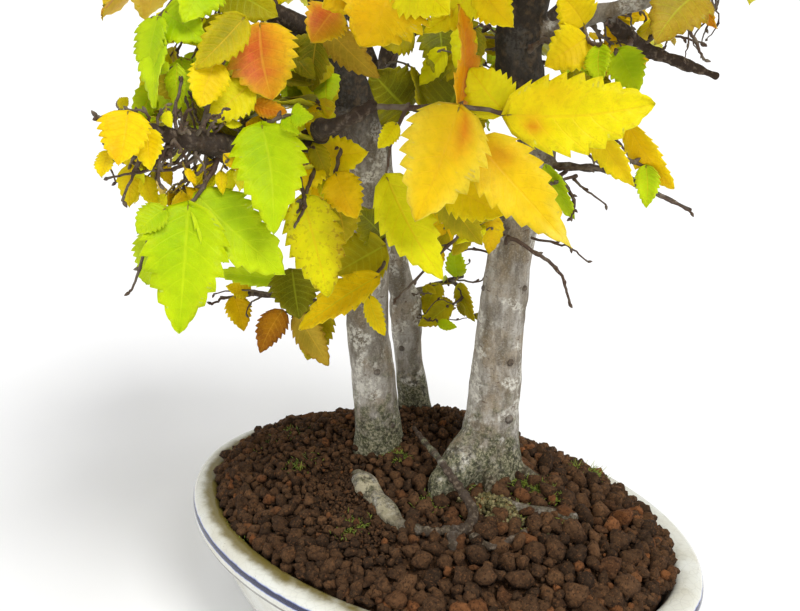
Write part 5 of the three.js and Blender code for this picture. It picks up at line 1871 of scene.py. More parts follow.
def budded_twig(points: Array, radius: float, dice: np.random.Generator, tip: float = 0.5) -> Shape:
    """A bare twig that wavers from node to node, with a bud at each node: r swells by 0.35 there.

    Args:
        points: The places that it passes.
        radius: Its radius at its start, in millimetres.
        dice: Random numbers.
        tip: The share of the radius that is left at its end.

    Returns:
        The twig with its buds.
    """
    curve, radii = smooth_path(points, np.linspace(radius, radius * tip, len(points)), 6)
    wander = dice.normal(size=(len(curve), 3)) * 0.16
    wander[0] = 0
    node = np.arange(len(curve)) % 6 == 0
    parts = [tube(curve + wander, radii * (1 + 0.35 * node), 7)]
    along = unit(np.gradient(curve, axis=0))
    for k in np.flatnonzero(node)[1:]:
        side = unit(np.cross(along[k], dice.normal(size=3)))
        lean = unit(along[k] * 0.8 + side)
        steps = np.array([0.2, 0.9, 1.7, 2.4])[:, None] * (0.6 + 0.5 * radius)
        width = np.array([0.5, 0.75, 0.55, 0.15]) * (0.55 + 0.5 * radius)
        parts.append(tube(curve[k] + lean * steps, width, 6, rounding=False))
    return joined(parts)


# The leaves and their sprays


@dataclass(frozen=True)
class LeafPlan:
    """A leaf of the front view: its stalk's end and its tip at picture points with depths, and how it lies.

    Attributes:
        base: Picture point and depth of the blade's start.
        tip: Picture point and depth of the tip.
        wide: The blade's width in millimetres.
        roll: Degrees by which it is turned about its rib from facing the front view.
        look: How it has turned.
    """

    base: tuple[float, float, float]
    tip: tuple[float, float, float]
    wide: float
    roll: float
    look: Look


@dataclass(frozen=True)
class SprayPlan:
    """A spray of the front view.

    Attributes:
        hue: Its finish.
        limb: The limb that it grows on, and the place counted in the limb's points.
        twigs: The places that each twig passes.
        leaves: Its leaves.
    """

    hue: Hue
    limb: tuple[str, float]
    twigs: list[list[Array]]
    leaves: list[LeafPlan] = field(default_factory=list)


FRONT_SPRAYS: dict[str, SprayPlan] = {
    "lime_front": SprayPlan(
        Hue.LIME, ("left_front", 3.62),
        [picture((214, 168, -62), (203, 186, -66), (190, 204, -70), (166, 212, -72)),
         picture((166, 212, -72), (150, 236, -73), (140, 268, -74), (130, 292, -75))],
        [LeafPlan((188, 206, -71), (179, 334, -86), 25, 0, Look.LIME),
         LeafPlan((198, 196, -67), (286, 274, -70), 20, -15, Look.GREEN),
         LeafPlan((165, 209, -74), (137, 233, -80), 9, 20, Look.GREEN),
         LeafPlan((153, 232, -70), (146, 284, -62), 12, 25, Look.GREEN)],
    ),
    "lime_middle": SprayPlan(
        Hue.LIME, ("left_front", 2.7),
        [picture((259, 137, -52), (262, 126, -57), (278, 118, -60), (294, 114, -62))],
        [LeafPlan((262, 126, -59), (273, 232, -80), 22, 0, Look.LIME),
         LeafPlan((292, 114, -63), (313, 117, -66), 7, 0, Look.LIME),
         LeafPlan((284, 117, -60), (299, 134, -66), 5, 10, Look.LIME)],
    ),
    "yellow_hanging": SprayPlan(
        Hue.YELLOW, ("left_front", 1.1),
        [picture((319, 150, -26), (312, 176, -42), (303, 200, -50), (292, 224, -54))],
        [LeafPlan((303, 198, -49), (329, 297, -60), 19, -12, Look.SPOTTED),
         LeafPlan((317, 162, -36), (287, 190, -48), 13, 15, Look.YELLOW),
         LeafPlan((319, 158, -30), (367, 152, -40), 13, 10, Look.YELLOW)],
    ),
    "yellow_middle": SprayPlan(
        Hue.YELLOW, ("left_stub", 1.4),
        [picture((340, 146, -34), (336, 172, -38), (332, 192, -36))],
        [LeafPlan((336, 174, -40), (357, 218, -48), 13, 0, Look.GOLD),
         LeafPlan((332, 194, -34), (345, 243, -34), 15, 0, Look.OLIVE)],
    ),
    "orange_left": SprayPlan(
        Hue.ORANGE, ("left_front", 4.05),
        [picture((205, 118, -62), (214, 82, -58), (228, 52, -54), (246, 30, -50), (262, 24, -48)),
         picture((220, 68, -56), (238, 86, -54), (253, 104, -52))],
        [LeafPlan((260, 25, -50), (272, 99, -58), 22, 8, Look.SCARLET),
         LeafPlan((244, 18, -54), (196, 68, -66), 12, 10, Look.OLIVE),
         LeafPlan((216, 62, -60), (200, 107, -68), 12, 0, Look.YELLOW),
         LeafPlan((250, 84, -54), (207, 120, -62), 13, 10, Look.LEMON),
         LeafPlan((254, 104, -54), (287, 112, -56), 6, 0, Look.ORANGE)],
    ),
    "yellow_left": SprayPlan(
        Hue.YELLOW, ("left_front", 4.9),
        [picture((150, 128, -75), (130, 119, -77), (98, 118, -80)),
         picture((150, 128, -75), (128, 146, -78), (108, 154, -80))],
        [LeafPlan((128, 112, -79), (118, 165, -88), 15, 20, Look.GOLD),
         LeafPlan((110, 152, -82), (101, 177, -86), 7, 40, Look.YELLOW),
         LeafPlan((148, 130, -77), (150, 170, -84), 9, 20, Look.YELLOW)],
    ),
    "green_high": SprayPlan(
        Hue.GREEN, ("left_high", 3.55),
        [picture((172, 4, -40), (158, 18, -48), (160, 30, -50))],
        [LeafPlan((158, 18, -50), (148, 76, -58), 12, 40, Look.GREEN),
         LeafPlan((160, 28, -50), (152, 108, -66), 11, 60, Look.GREEN),
         LeafPlan((166, 12, -46), (206, 42, -52), 15, 0, Look.LIME)],
    ),
    "olive_high": SprayPlan(
        Hue.GREEN, ("left_high", 2.5),
        [picture((226, -8, -28), (222, -16, -36), (206, -22, -42))],
        [LeafPlan((224, -12, -34), (276, 16, -40), 17, 0, Look.OLIVE),
         LeafPlan((210, -20, -42), (184, 22, -54), 15, 0, Look.GREEN)],
    ),
    "amber_top": SprayPlan(
        Hue.YELLOW, ("left_top_front", 1.2),
        [[at(-44, -34, 306), at(-24, -42, 296), at(-10, -46, 288)]],
        [LeafPlan((396, -22, -46), (362, 46, -56), 28, 0, Look.GOLD),
         LeafPlan((376, -26, -44), (322, 8, -52), 17, 0, Look.AMBER),
         LeafPlan((400, -24, -46), (450, 14, -52), 20, 0, Look.LEMON)],
    ),
    "orange_top": SprayPlan(
        Hue.ORANGE, ("left_high", 0.55),
        [picture((326, 30, -10), (332, 16, -26), (330, 10, -32))],
        [LeafPlan((334, 10, -34), (312, 40, -44), 14, 0, Look.SCARLET),
         LeafPlan((326, 27, -26), (379, 78, -36), 11, 10, Look.TAN),
         LeafPlan((318, 30, -16), (312, 92, -18), 11, 0, Look.FOREST)],
    ),
    "lemon_top": SprayPlan(
        Hue.YELLOW, ("right_front", 1.5),
        [[at(24, -38, 304), at(20, -36, 290), at(10, -32, 284)]],
        [LeafPlan((470, -12, -34), (416, 6, -44), 15, 0, Look.YELLOW),
         LeafPlan((474, -10, -36), (424, 33, -44), 12, 0, Look.LEMON),
         LeafPlan((482, -12, -36), (513, 26, -44), 13, 0, Look.YELLOW)],
    ),
    "long_twig": SprayPlan(
        Hue.YELLOW, ("left_stub", 3.9),
        [picture((406, 107, -53), (458, 107, -55), (506, 114, -52), (560, 132, -47), (603, 150, -43),
                 (634, 162, -40)),
         picture((458, 107, -55), (472, 124, -54), (479, 146, -55)),
         picture((406, 107, -53), (392, 140, -50), (386, 178, -48)),
         picture((603, 150, -43), (615, 137, -40), (629, 124, -38)),
         picture((634, 162, -40), (648, 168, -39))],
        [LeafPlan((459, 108, -57), (416, 220, -74), 26, 0, Look.PATCHED),
         LeafPlan((459, 106, -53), (462, 4, -44), 18, 62, Look.ORANGE),
         LeafPlan((508, 115, -53), (656, 103, -60), 24, -8, Look.LEMON_WARM),
         LeafPlan((504, 112, -50), (470, 68, -48), 16, 10, Look.LEMON),
         LeafPlan((478, 143, -57), (572, 248, -70), 21, -12, Look.GOLD_SHADED),
         LeafPlan((387, 178, -49), (443, 280, -62), 18, 0, Look.LEMON_LIME),
         LeafPlan((590, 126, -45), (634, 188, -47), 10, 30, Look.YELLOW),
         LeafPlan((628, 124, -39), (674, 189, -41), 11, 35, Look.GOLD),
         LeafPlan((646, 166, -40), (646, 208, -44), 8, 0, Look.GREEN),
         LeafPlan((396, 124, -52), (378, 148, -58), 6, 0, Look.LEMON)],
    ),
    "yellow_behind": SprayPlan(
        Hue.YELLOW, ("right_trunk", 8.5),
        [picture((508, 176, -6), (478, 176, -16), (442, 184, -24))],
        [LeafPlan((446, 182, -26), (506, 214, -34), 17, 0, Look.YELLOW),
         LeafPlan((440, 186, -22), (482, 246, -20), 14, 20, Look.OLIVE),
         LeafPlan((476, 176, -16), (440, 150, -20), 14, 0, Look.LEMON)],
    ),
    "olive_trunk": SprayPlan(
        Hue.GREEN, ("left_trunk", 4.9),
        [picture((382, 236, 4), (386, 258, -12), (376, 276, -20), (370, 296, -18))],
        [LeafPlan((384, 246, -10), (334, 274, -14), 20, 10, Look.OLIVE),
         LeafPlan((377, 277, -22), (299, 330, -34), 14, 35, Look.AMBER),
         LeafPlan((369, 297, -20), (385, 336, -24), 7, 0, Look.YELLOW),
         LeafPlan((384, 238, 0), (354, 208, -18), 14, 0, Look.FOREST)],
    ),
    "green_low": SprayPlan(
        Hue.GREEN, ("left_low", 1.75),
        [picture((298, 288, 30), (293, 272, 24), (276, 280, 22))],
        [LeafPlan((292, 270, 22), (299, 318, 10), 20, 0, Look.FOREST),
         LeafPlan((280, 281, 20), (212, 273, 26), 9, 20, Look.GREEN)],
    ),
    "brown_low": SprayPlan(
        Hue.ORANGE, ("left_low", 1.2),
        [picture((318, 306, 30), (308, 313, 24), (296, 315, 22), (282, 311, 21))],
        [LeafPlan((282, 311, 20), (260, 353, 12), 12, 0, Look.BROWN),
         LeafPlan((297, 315, 21), (328, 366, 12), 13, 20, Look.TAN),
         LeafPlan((322, 305, 27), (307, 360, 16), 15, 10, Look.OLIVE)],
    ),
    "amber_low": SprayPlan(
        Hue.YELLOW, ("left_low", 2.7),
        [picture((240, 296, 42), (224, 298, 42), (212, 304, 40))],
        [LeafPlan((235, 297, 40), (244, 331, 32), 11, 0, Look.AMBER),
         LeafPlan((250, 290, 40), (226, 286, 34), 8, 0, Look.YELLOW)],
    ),
    "green_middle": SprayPlan(
        Hue.GREEN, ("back_trunk", 7.6),
        [picture((404, 108, 40), (420, 112, 30), (448, 118, 24))],
        [LeafPlan((408, 110, 34), (372, 72, 24), 26, 0, Look.FOREST),
         LeafPlan((446, 116, 24), (478, 62, 20), 28, 0, Look.FOREST),
         LeafPlan((424, 112, 28), (412, 66, 28), 10, 60, Look.OLIVE),
         LeafPlan((446, 118, 22), (412, 150, 20), 17, 0, Look.OLIVE)],
    ),
    "green_top": SprayPlan(
        Hue.GREEN, ("back_trunk", 8.5),
        [picture((404, 46, 44), (424, 26, 34), (440, 18, 30))],
        [LeafPlan((438, 18, 28), (441, 80, 18), 17, 0, Look.FOREST),
         LeafPlan((412, 30, 34), (380, 44, 30), 14, 0, Look.OLIVE),
         LeafPlan((440, 16, 30), (484, 50, 22), 15, 0, Look.FOREST)],
    ),
    "olive_back": SprayPlan(
        Hue.GREEN, ("back_low", 1.4),
        [picture((456, 284, 62), (462, 298, 58), (448, 306, 54))],
        [LeafPlan((460, 284, 60), (474, 322, 54), 9, 30, Look.OLIVE),
         LeafPlan((450, 304, 54), (418, 326, 50), 10, 0, Look.OLIVE),
         LeafPlan((438, 284, 64), (424, 314, 56), 11, 20, Look.OLIVE),
         LeafPlan((458, 276, 66), (456, 244, 58), 9, 0, Look.GREEN)],
    ),
    "green_right": SprayPlan(
        Hue.GREEN, ("right_mid", 0.9),
        [picture((560, 176, -2), (546, 188, -8), (541, 192, -8)),
         picture((560, 176, -2), (574, 200, -6), (571, 218, -8))],
        [LeafPlan((546, 166, -4), (574, 220, -10), 9, 35, Look.GREEN)],
    ),
    "yellow_arm": SprayPlan(
        Hue.YELLOW, ("right_arm", 1.5),
        [picture((584, 30, -8), (590, 42, -14), (598, 46, -18))],
        [LeafPlan((586, 38, -12), (546, 66, -18), 16, 0, Look.YELLOW),
         LeafPlan((600, 46, -18), (600, 82, -26), 9, 20, Look.GREEN),
         LeafPlan((584, 24, -10), (560, -6, -14), 14, 0, Look.YELLOW)],
    ),
    "green_arm": SprayPlan(
        Hue.GREEN, ("right_low", 0.7),
        [picture((630, 44, -6), (624, 48, -10), (616, 50, -12))],
        [LeafPlan((618, 50, -12), (638, 92, -20), 13, 0, Look.GREEN)],
    ),
    "olive_arm": SprayPlan(
        Hue.GREEN, ("right_arm", 4.2),
        [picture((690, -22, -14), (697, -14, -20), (700, -6, -24))],
        [LeafPlan((699, -8, -24), (656, 40, -36), 19, 10, Look.TAN),
         LeafPlan((694, -16, -20), (716, 30, -22), 8, 40, Look.ORANGE)],
    ),
    "bare_right": SprayPlan(
        Hue.BARK, ("right_trunk", 7),
        [picture((508, 238, 0), (537, 254, -6), (556, 268, -8), (564, 282, -8), (569, 303, -8))],
    ),
}

# Sprays of the crown and of the back: limb, place on it, direction in the planting's frame, finish.
CROWN_SPRAYS: list[tuple[str, float, tuple[float, float, float], Hue]] = [
    ("left_high", 1.3, (-0.3, 0.3, 1), Hue.YELLOW),
    ("left_high", 3.2, (-0.8, 0.5, 0.5), Hue.GREEN),
    ("left_back", 1.6, (-0.7, 0.2, 0.6), Hue.YELLOW),
    ("left_back", 2.8, (-0.5, 0.8, 0), Hue.ORANGE),
    ("left_top_back", 1.7, (-0.4, 0.9, 0.3), Hue.GREEN),
    ("left_top_front", 1.8, (-0.7, -0.6, 0.2), Hue.LIME),
    ("left_trunk", 10.2, (-0.8, 0.1, 0.4), Hue.ORANGE),
    ("left_trunk", 11.1, (0.5, -0.7, 0.5), Hue.YELLOW),
    ("left_trunk", 11.9, (-0.1, 0.3, 0.9), Hue.GREEN),
    ("left_front", 3.1, (-0.2, 0.9, 0.3), Hue.GREEN),
    ("back_left", 1.6, (-0.6, 0.8, 0.1), Hue.YELLOW),
    ("back_right", 1.7, (0.8, 0.6, 0), Hue.GREEN),
    ("back_trunk", 10.4, (-0.2, 0.9, 0.3), Hue.LIME),
    ("back_trunk", 11.8, (0.1, 0.4, 0.9), Hue.YELLOW),
    ("right_back", 1.6, (0.2, 0.9, 0.2), Hue.GREEN),
    ("right_back", 2.8, (0.9, 0.4, 0.1), Hue.YELLOW),
    ("right_front", 2.2, (0.6, -0.6, 0.4), Hue.LIME),
    ("right_front", 2.9, (-0.4, -0.9, 0), Hue.ORANGE),
    ("right_top", 1.4, (0.6, 0.5, 0.5), Hue.ORANGE),
    ("centre_back", 1.6, (-0.5, 0.6, 0.5), Hue.YELLOW),
    ("right_trunk", 16.2, (0.6, 0.6, 0.5), Hue.YELLOW),
    ("right_trunk", 16.9, (-0.7, -0.5, 0.4), Hue.GREEN),
    ("right_trunk", 17.8, (0, 0.3, 0.9), Hue.LIME),
    ("right_arm", 4.9, (0.8, 0.4, 0.2), Hue.YELLOW),
]

# The looks that the leaves of a crown spray take by turns of chance.
CROWN_LOOKS: dict[Hue, tuple[Look, ...]] = {
    Hue.LIME: (Look.LIME, Look.LIME, Look.LEMON_LIME, Look.GREEN),
    Hue.GREEN: (Look.GREEN, Look.FOREST, Look.OLIVE, Look.LEMON_LIME),
    Hue.YELLOW: (Look.YELLOW, Look.LEMON, Look.GOLD, Look.LEMON_WARM, Look.LEMON_LIME),
    Hue.ORANGE: (Look.SCARLET, Look.ORANGE, Look.AMBER, Look.GOLD),
}


@dataclass
class Leaf:
    """A saw-edged blade, folded a little along its rib, with quilting between its veins and a wavy margin.

    Attributes:
        base: The blade's start.
        tip: Its tip.
        wide: Its full width in millimetres.
        face: The way that its upper side looks.
        look: How it has turned.
        teeth: Teeth of each margin.
        steps: Rows of points for each tooth.
        columns: Columns of faces of each half.
        thick: The blade's thickness in millimetres.
        fold: Rise of the margin for each unit of width.
        sag: How far the middle stands out from the line from base to tip, as a share of the length.
        blunt: How the width runs out towards the tip: smaller is blunter.
        tail: The least width before the tip's end, as a share of the greatest.
    """

    base: Array
    tip: Array
    wide: float
    face: Array
    look: Look
    teeth: int = 8
    steps: int = 4
    columns: int = 3
    thick: float = 0.24
    fold: float = 0.22
    sag: float = 0.1
    blunt: float = 0.9
    tail: float = 0.1

    def grid(self) -> tuple[Array, Array]:
        """Places of the blade's grid: the share along the rib, and across from -1 to 1.

        Returns:
            Shares of the length and of the half width.
        """
        rows = self.teeth * self.steps
        share = np.linspace(0, 1, rows + 1)
        across = np.linspace(-1, 1, 2 * self.columns + 1)
        return np.meshgrid(share, across, indexing="ij")

    def half_width(self, share: Array, power: float) -> Array:
        """Half of the width at a share of the length: s^0.4 (1 - s)^p over its most, blunt for a small p.

        Args:
            share: Shares of the length.
            power: How fast the blade narrows to its tip.

        Returns:
            Half of the width, as a share of the whole.
        """
        rise = 0.4
        most = (rise / (rise + power)) ** rise * (power / (rise + power)) ** power
        body = np.maximum(share, 1e-6) ** rise * np.maximum(1 - share, 0) ** power / most
        return 0.5 * np.maximum(body, self.tail * (1 - share**16) * np.clip(share * 4, 0, 1))

    def middle(self, dice: np.random.Generator) -> Array:
        """The blade's middle surface.

        Across: w h(s) (1 + tooth), tooth = 0.32 f^0.8 - 0.17 at the margin, f being the saw's fraction.
        Along: s plus a lean of 0.55 f / teeth at the margin. Out: fold, sag, quilting and margin waves.

        Args:
            dice: Random numbers.

        Returns:
            The points as (rows, columns, 3).
        """
        share, across = self.grid()
        long = float(np.linalg.norm(self.tip - self.base))
        along = unit(self.tip - self.base)
        side = unit(np.cross(along, self.face))
        out = unit(np.cross(side, along))
        saw = (share * self.teeth * 0.999) % 1.0
        margin = np.abs(across) ** 4
        ends = np.clip((1 - share) * 7, 0, 1) * np.clip(share * 7, 0, 1)
        tooth = (0.32 * saw**0.8 - 0.17) * margin * ends
        lean = 0.55 * saw / self.teeth * margin * (1 - share)
        ear = -0.045 * np.abs(across) ** 1.5 * np.exp(-share * 16)
        width = self.half_width(share, self.blunt * dice.uniform(0.85, 1.1)) * self.wide
        v = across * width * (1 + tooth)
        u = (share + lean + ear) * long
        bend = dice.uniform(-0.05, 0.09) * self.wide
        ripple = share * dice.uniform(9, 14) + dice.uniform(0, 6.28) + (across > 0) * 2.2
        wave = dice.uniform(0.03, 0.07) * self.wide * np.sin(ripple)
        veins = share - 0.2 * np.abs(across) ** 1.3
        quilt = 0.011 * self.wide * np.cos(2 * np.pi * self.teeth * veins) * np.abs(across)
        lift = np.abs(v) * self.fold + self.sag * long * share * (1 - share)
        lift = lift + wave * margin + quilt + bend * np.sin(np.pi * share) * across
        lift = lift - dice.uniform(0.0, 0.1) * self.wide * share**4
        swing = dice.uniform(-0.05, 0.05) * long * np.sin(np.pi * share)
        return self.base + along * u[..., None] + side * (v + swing)[..., None] + out * lift[..., None]

    def colours(self, dice: np.random.Generator) -> Array:
        """The blade's colour at each point: body to margin by |w|^3, each patch by a soft bell.

        Args:
            dice: Random numbers.

        Returns:
            Rows of the colour and how speckled it is.
        """
        body, rim, specks, patches = self.look.value
        share, across = self.grid()
        shift = dice.uniform(0.88, 1.1)
        colour = linear(*body)[None, None] * (1 - np.abs(across)[..., None] ** 3)
        colour = (colour + linear(*rim) * np.abs(across)[..., None] ** 3) * shift
        for patch in patches:
            reach = ((share - patch.along) / patch.long) ** 2 + ((across - patch.across) / patch.wide) ** 2
            spots = np.stack([share * 6, across * 2, share * 0], -1).reshape(-1, 3)
            noise = lattice_noise(spots, 1.0, int(dice.integers(99)))
            weight = patch.strength * np.exp(-reach * (1 + 0.9 * noise.reshape(share.shape)))[..., None]
            colour = colour * (1 - weight) + linear(*patch.colour) * weight
        edge = specks * (0.35 + 0.65 * np.abs(across) ** 2)
        return np.concatenate([colour, edge[..., None]], -1)

    def build(self, dice: np.random.Generator) -> Shape:
        """Make the blade: its middle moved half its thickness to both sides, and a flat edge round it.

        Args:
            dice: Random numbers.

        Returns:
            The closed blade.
        """
        middle = self.middle(dice)
        rows, columns = middle.shape[:2]
        down = np.gradient(middle, axis=0)
        over = np.gradient(middle, axis=1)
        normal = np.cross(over, down)
        normal /= np.maximum(np.linalg.norm(normal, axis=2, keepdims=True), 1e-9)
        along = unit(self.tip - self.base)
        outward = unit(np.cross(unit(np.cross(along, self.face)), along))
        normal *= np.sign(np.sum(normal * outward, -1, keepdims=True) + 1e-9)
        upper = (middle + normal * self.thick / 2).reshape(-1, 3)
        lower = (middle - normal * self.thick / 2).reshape(-1, 3)
        index = np.arange(rows * columns).reshape(rows, columns)
        face = np.stack([index[:-1, :-1], index[1:, :-1], index[1:, 1:], index[:-1, 1:]], -1).reshape(-1, 4)
        under = face[:, ::-1] + rows * columns
        share, across = self.grid()
        spot = np.stack([share, (across + 1) / 2], -1).reshape(-1, 2)
        loop = np.concatenate([index[:-1, 0], index[-1, :-1], index[:0:-1, -1], index[0, :0:-1]])
        after = np.roll(loop, -1)
        wall = np.stack([loop, loop + rows * columns, after + rows * columns, after], -1)
        quads = np.vstack([face, under, wall])
        first, second, _, fourth = upper[face[len(face) // 2]]
        if np.dot(np.cross(second - first, fourth - first), outward) < 0:
            quads = quads[:, ::-1]
        colours = self.colours(dice).reshape(-1, 4)
        pale = colours * np.array([0.86, 0.9, 1.0, 0.6]) + np.array([0.05, 0.05, 0.05, 0])
        both = np.vstack([spot, spot])
        flat = np.zeros(len(quads), bool)
        flat[-len(wall) :] = True
        tint = np.vstack([colours, pale])
        return Shape(np.vstack([upper, lower]), quads, quad_uv=both[quads], tint=tint, flat=flat)


@dataclass
class Dice:
    """Seeded random numbers from 0 to 1 that lay the crown out as the solids are laid."""

    state: int

    def roll(self) -> float:
        """The next number: the state is moved on and mixed in 32 bits.

        Returns:
            The number.
        """
        whole = 0xFFFFFFFF
        self.state = (self.state + 0x6D2B79F5) & whole
        mixed = ((self.state ^ (self.state >> 15)) * (1 | self.state)) & whole
        mixed = ((mixed + (((mixed ^ (mixed >> 7)) * (61 | mixed)) & whole)) & whole) ^ mixed
        return ((mixed ^ (mixed >> 14)) & whole) / 4294967296


# The stalks' own colour.
STALK = linear(150, 132, 58)


def on_limb(name: str, place: float) -> Array:
    """A point on a limb's middle, at a place counted in the limb's points.

    Args:
        name: The limb's name.
        place: The place, counted in the limb's points.

    Returns:
        The point.
    """
    points = middle_of(LIMBS[name])
    low = min(math.floor(place), len(points) - 2)
    return points[low] + (points[low + 1] - points[low]) * (place - low)


def nearest_on(twigs: Sequence[Array], point: Array) -> Array:
    """The place on twigs that is nearest to a point q.

    It is p + t d of a stretch from p along d, with t = (q - p).d / d.d held in 0 to 1.

    Args:
        twigs: The twigs' middle lines.
        point: The point.

    Returns:
        The place.
    """
    best, least = twigs[0][0], math.inf
    for twig in twigs:
        step = twig[1:] - twig[:-1]
        t = np.clip(np.sum((point - twig[:-1]) * step, 1) / np.maximum(np.sum(step * step, 1), 1e-9), 0, 1)
        near = twig[:-1] + step * t[:, None]
        away = np.linalg.norm(near - point, axis=1)
        if away.min() < least:
            best, least = near[np.argmin(away)], float(away.min())
    return best


@dataclass
class Spray:
    """A spray: twigs with buds, and leaves on stalks.

    Attributes:
        name: The node that it stands for.
        hue: Its finish.
        twigs: The places that each twig passes.
        leaves: Its leaves.
    """

    name: str
    hue: Hue
    twigs: list[Array]
    leaves: list[Leaf]

    @classmethod
    def front(cls, name: str, plan: SprayPlan) -> "Spray":
        """Lay a spray of the front view out.

        Args:
            name: The node's name.
            plan: The spray's plan.

        Returns:
            The spray.
        """
        start, eye = on_limb(*plan.limb), at(*PLANTING.eye)
        twigs = [np.array(([start] if i == 0 else []) + twig) for i, twig in enumerate(plan.twigs)]
        leaves = []
        for leaf in plan.leaves:
            base, tip = seen(*leaf.base), seen(*leaf.tip)
            face = turned(eye - base, unit(tip - base), math.radians(leaf.roll))
            form = {Look.LIME: (1.05, 0.3), Look.GOLD_SHADED: (1.35, 0.12)}.get(leaf.look, (0.86, 0.1))
            leaves.append(Leaf(base, tip, leaf.wide, face, leaf.look, blunt=form[0], tail=form[1]))
        return cls(name, plan.hue, twigs, leaves)

    @classmethod
    def crown(cls, name: str, seed: int, extra: int) -> "Spray":
        """Lay a crown spray out: a drooping twig, leaves by turns on its left and right, and one at its end.

        Args:
            name: The node's name.
            seed: Its number in the list of crown sprays, from 1.
            extra: Leaves that are added to the solids' three.

        Returns:
            The spray.
        """
        limb, place, direction, hue = CROWN_SPRAYS[seed - 1]
        dice, chance = Dice(seed), Dice(seed + 100)
        along = unit(at(*direction))
        side = unit(np.cross(along, UP))
        start = on_limb(limb, place)
        long = 30 + 14 * dice.roll()
        points = []
        for i in range(4):
            sway = side * (dice.roll() - 0.5) * 2 * i
            points.append(start + along * long * i / 3 + sway - UP * 0.4 * i * i)
        twig = np.array(points)
        looks = CROWN_LOOKS[hue]
        leaves = []
        for i in range(3 + extra):
            known = i < 3
            share = 0.9 + 2.05 * i / 2 if known else 0.35 + 2.5 * (i - 3) / max(1, extra - 1)
            low = min(int(share), 2)
            base = twig[low] + (twig[low + 1] - twig[low]) * (share - low)
            hand = (0.1 if i == 2 else 1 - 2 * (i % 2)) if known else (2 * (i % 2) - 1) * 0.9
            heading = along * (0.7 - 0.3 * abs(hand)) + side * 0.85 * hand
            heading = heading + UP * ((-0.25 if known else 0.15) - 0.45 * dice.roll())
            size = (25 if known else 19) + 11 * dice.roll()
            wide = size * (0.5 + 0.1 * dice.roll())
            face = UP + along * 0.3 + side * 0.8 * (dice.roll() - 0.5)
            look = looks[int(chance.roll() * len(looks)) % len(looks)]
            tip = base + unit(heading) * size
            leaves.append(Leaf(base, tip, wide, face, look, teeth=8, steps=2, columns=2))
        twigs = [twig]
        for i in range(extra - 1):
            hand = 1 - 2 * (i % 2)
            share = 0.7 + 1.9 * dice.roll()
            low = min(int(share), 2)
            fork = twig[low] + (twig[low + 1] - twig[low]) * (share - low)
            ahead = along * (0.5 + 0.4 * dice.roll())
            away = unit(ahead + side * hand * 0.9 + UP * (0.5 * dice.roll() - 0.15))
            reach = 13 + 9 * dice.roll()
            twigs.append(np.array([fork, fork + away * reach * 0.5, fork + away * reach - UP * 1.2]))
            for k in range(3):
                base = twigs[-1][min(k + 1, 2)] if k < 2 else fork + away * reach * 0.75
                swing = (k - 1) * 0.8 * hand if k < 2 else 0.9 * hand
                heading = away * 0.8 + np.cross(away, UP) * swing - UP * (0.1 + 0.5 * dice.roll())
                size = 17 + 9 * dice.roll()
                face = UP + away * 0.3 + side * 0.8 * (dice.roll() - 0.5)
                look = looks[int(dice.roll() * len(looks)) % len(looks)]
                tip = base + unit(heading) * size
                leaves.append(Leaf(base, tip, size * 0.52, face, look, teeth=6, steps=2, columns=1))
        return cls(name, hue, twigs, leaves)

    def build(self, skins: dict[Hue, bpy.types.Material], twig_bark: bpy.types.Material) -> bpy.types.Object:
        """Make the spray as one piece.

        Args:
            skins: The leaf skin of each finish.
            twig_bark: The twigs' finish.

        Returns:
            The piece.
        """
        dice = np.random.default_rng(sum(map(ord, self.name)))
        radii = [1.0] + [0.75] * (len(self.twigs) - 1)
        parts = [budded_twig(twig, radius, dice).finished(1) for twig, radius in zip(self.twigs, radii)]
        for leaf in self.leaves:
            parts.append(leaf.build(dice))
            root = nearest_on(self.twigs, leaf.base)
            along = leaf.tip - leaf.base
            stalk = np.array([root, (root + leaf.base) / 2 - UP * 0.2, leaf.base, leaf.base + along * 0.07])
            curve, widths = smooth_path(stalk, np.array([0.5, 0.38, 0.36, 0.2]), 3)
            parts.append(tube(curve, widths, 6).tinted(STALK, 0.2))
        made = to_object(self.name + "_leaves", joined(parts), [skins.get(self.hue, twig_bark), twig_bark])
        return declare(made, [self.name])


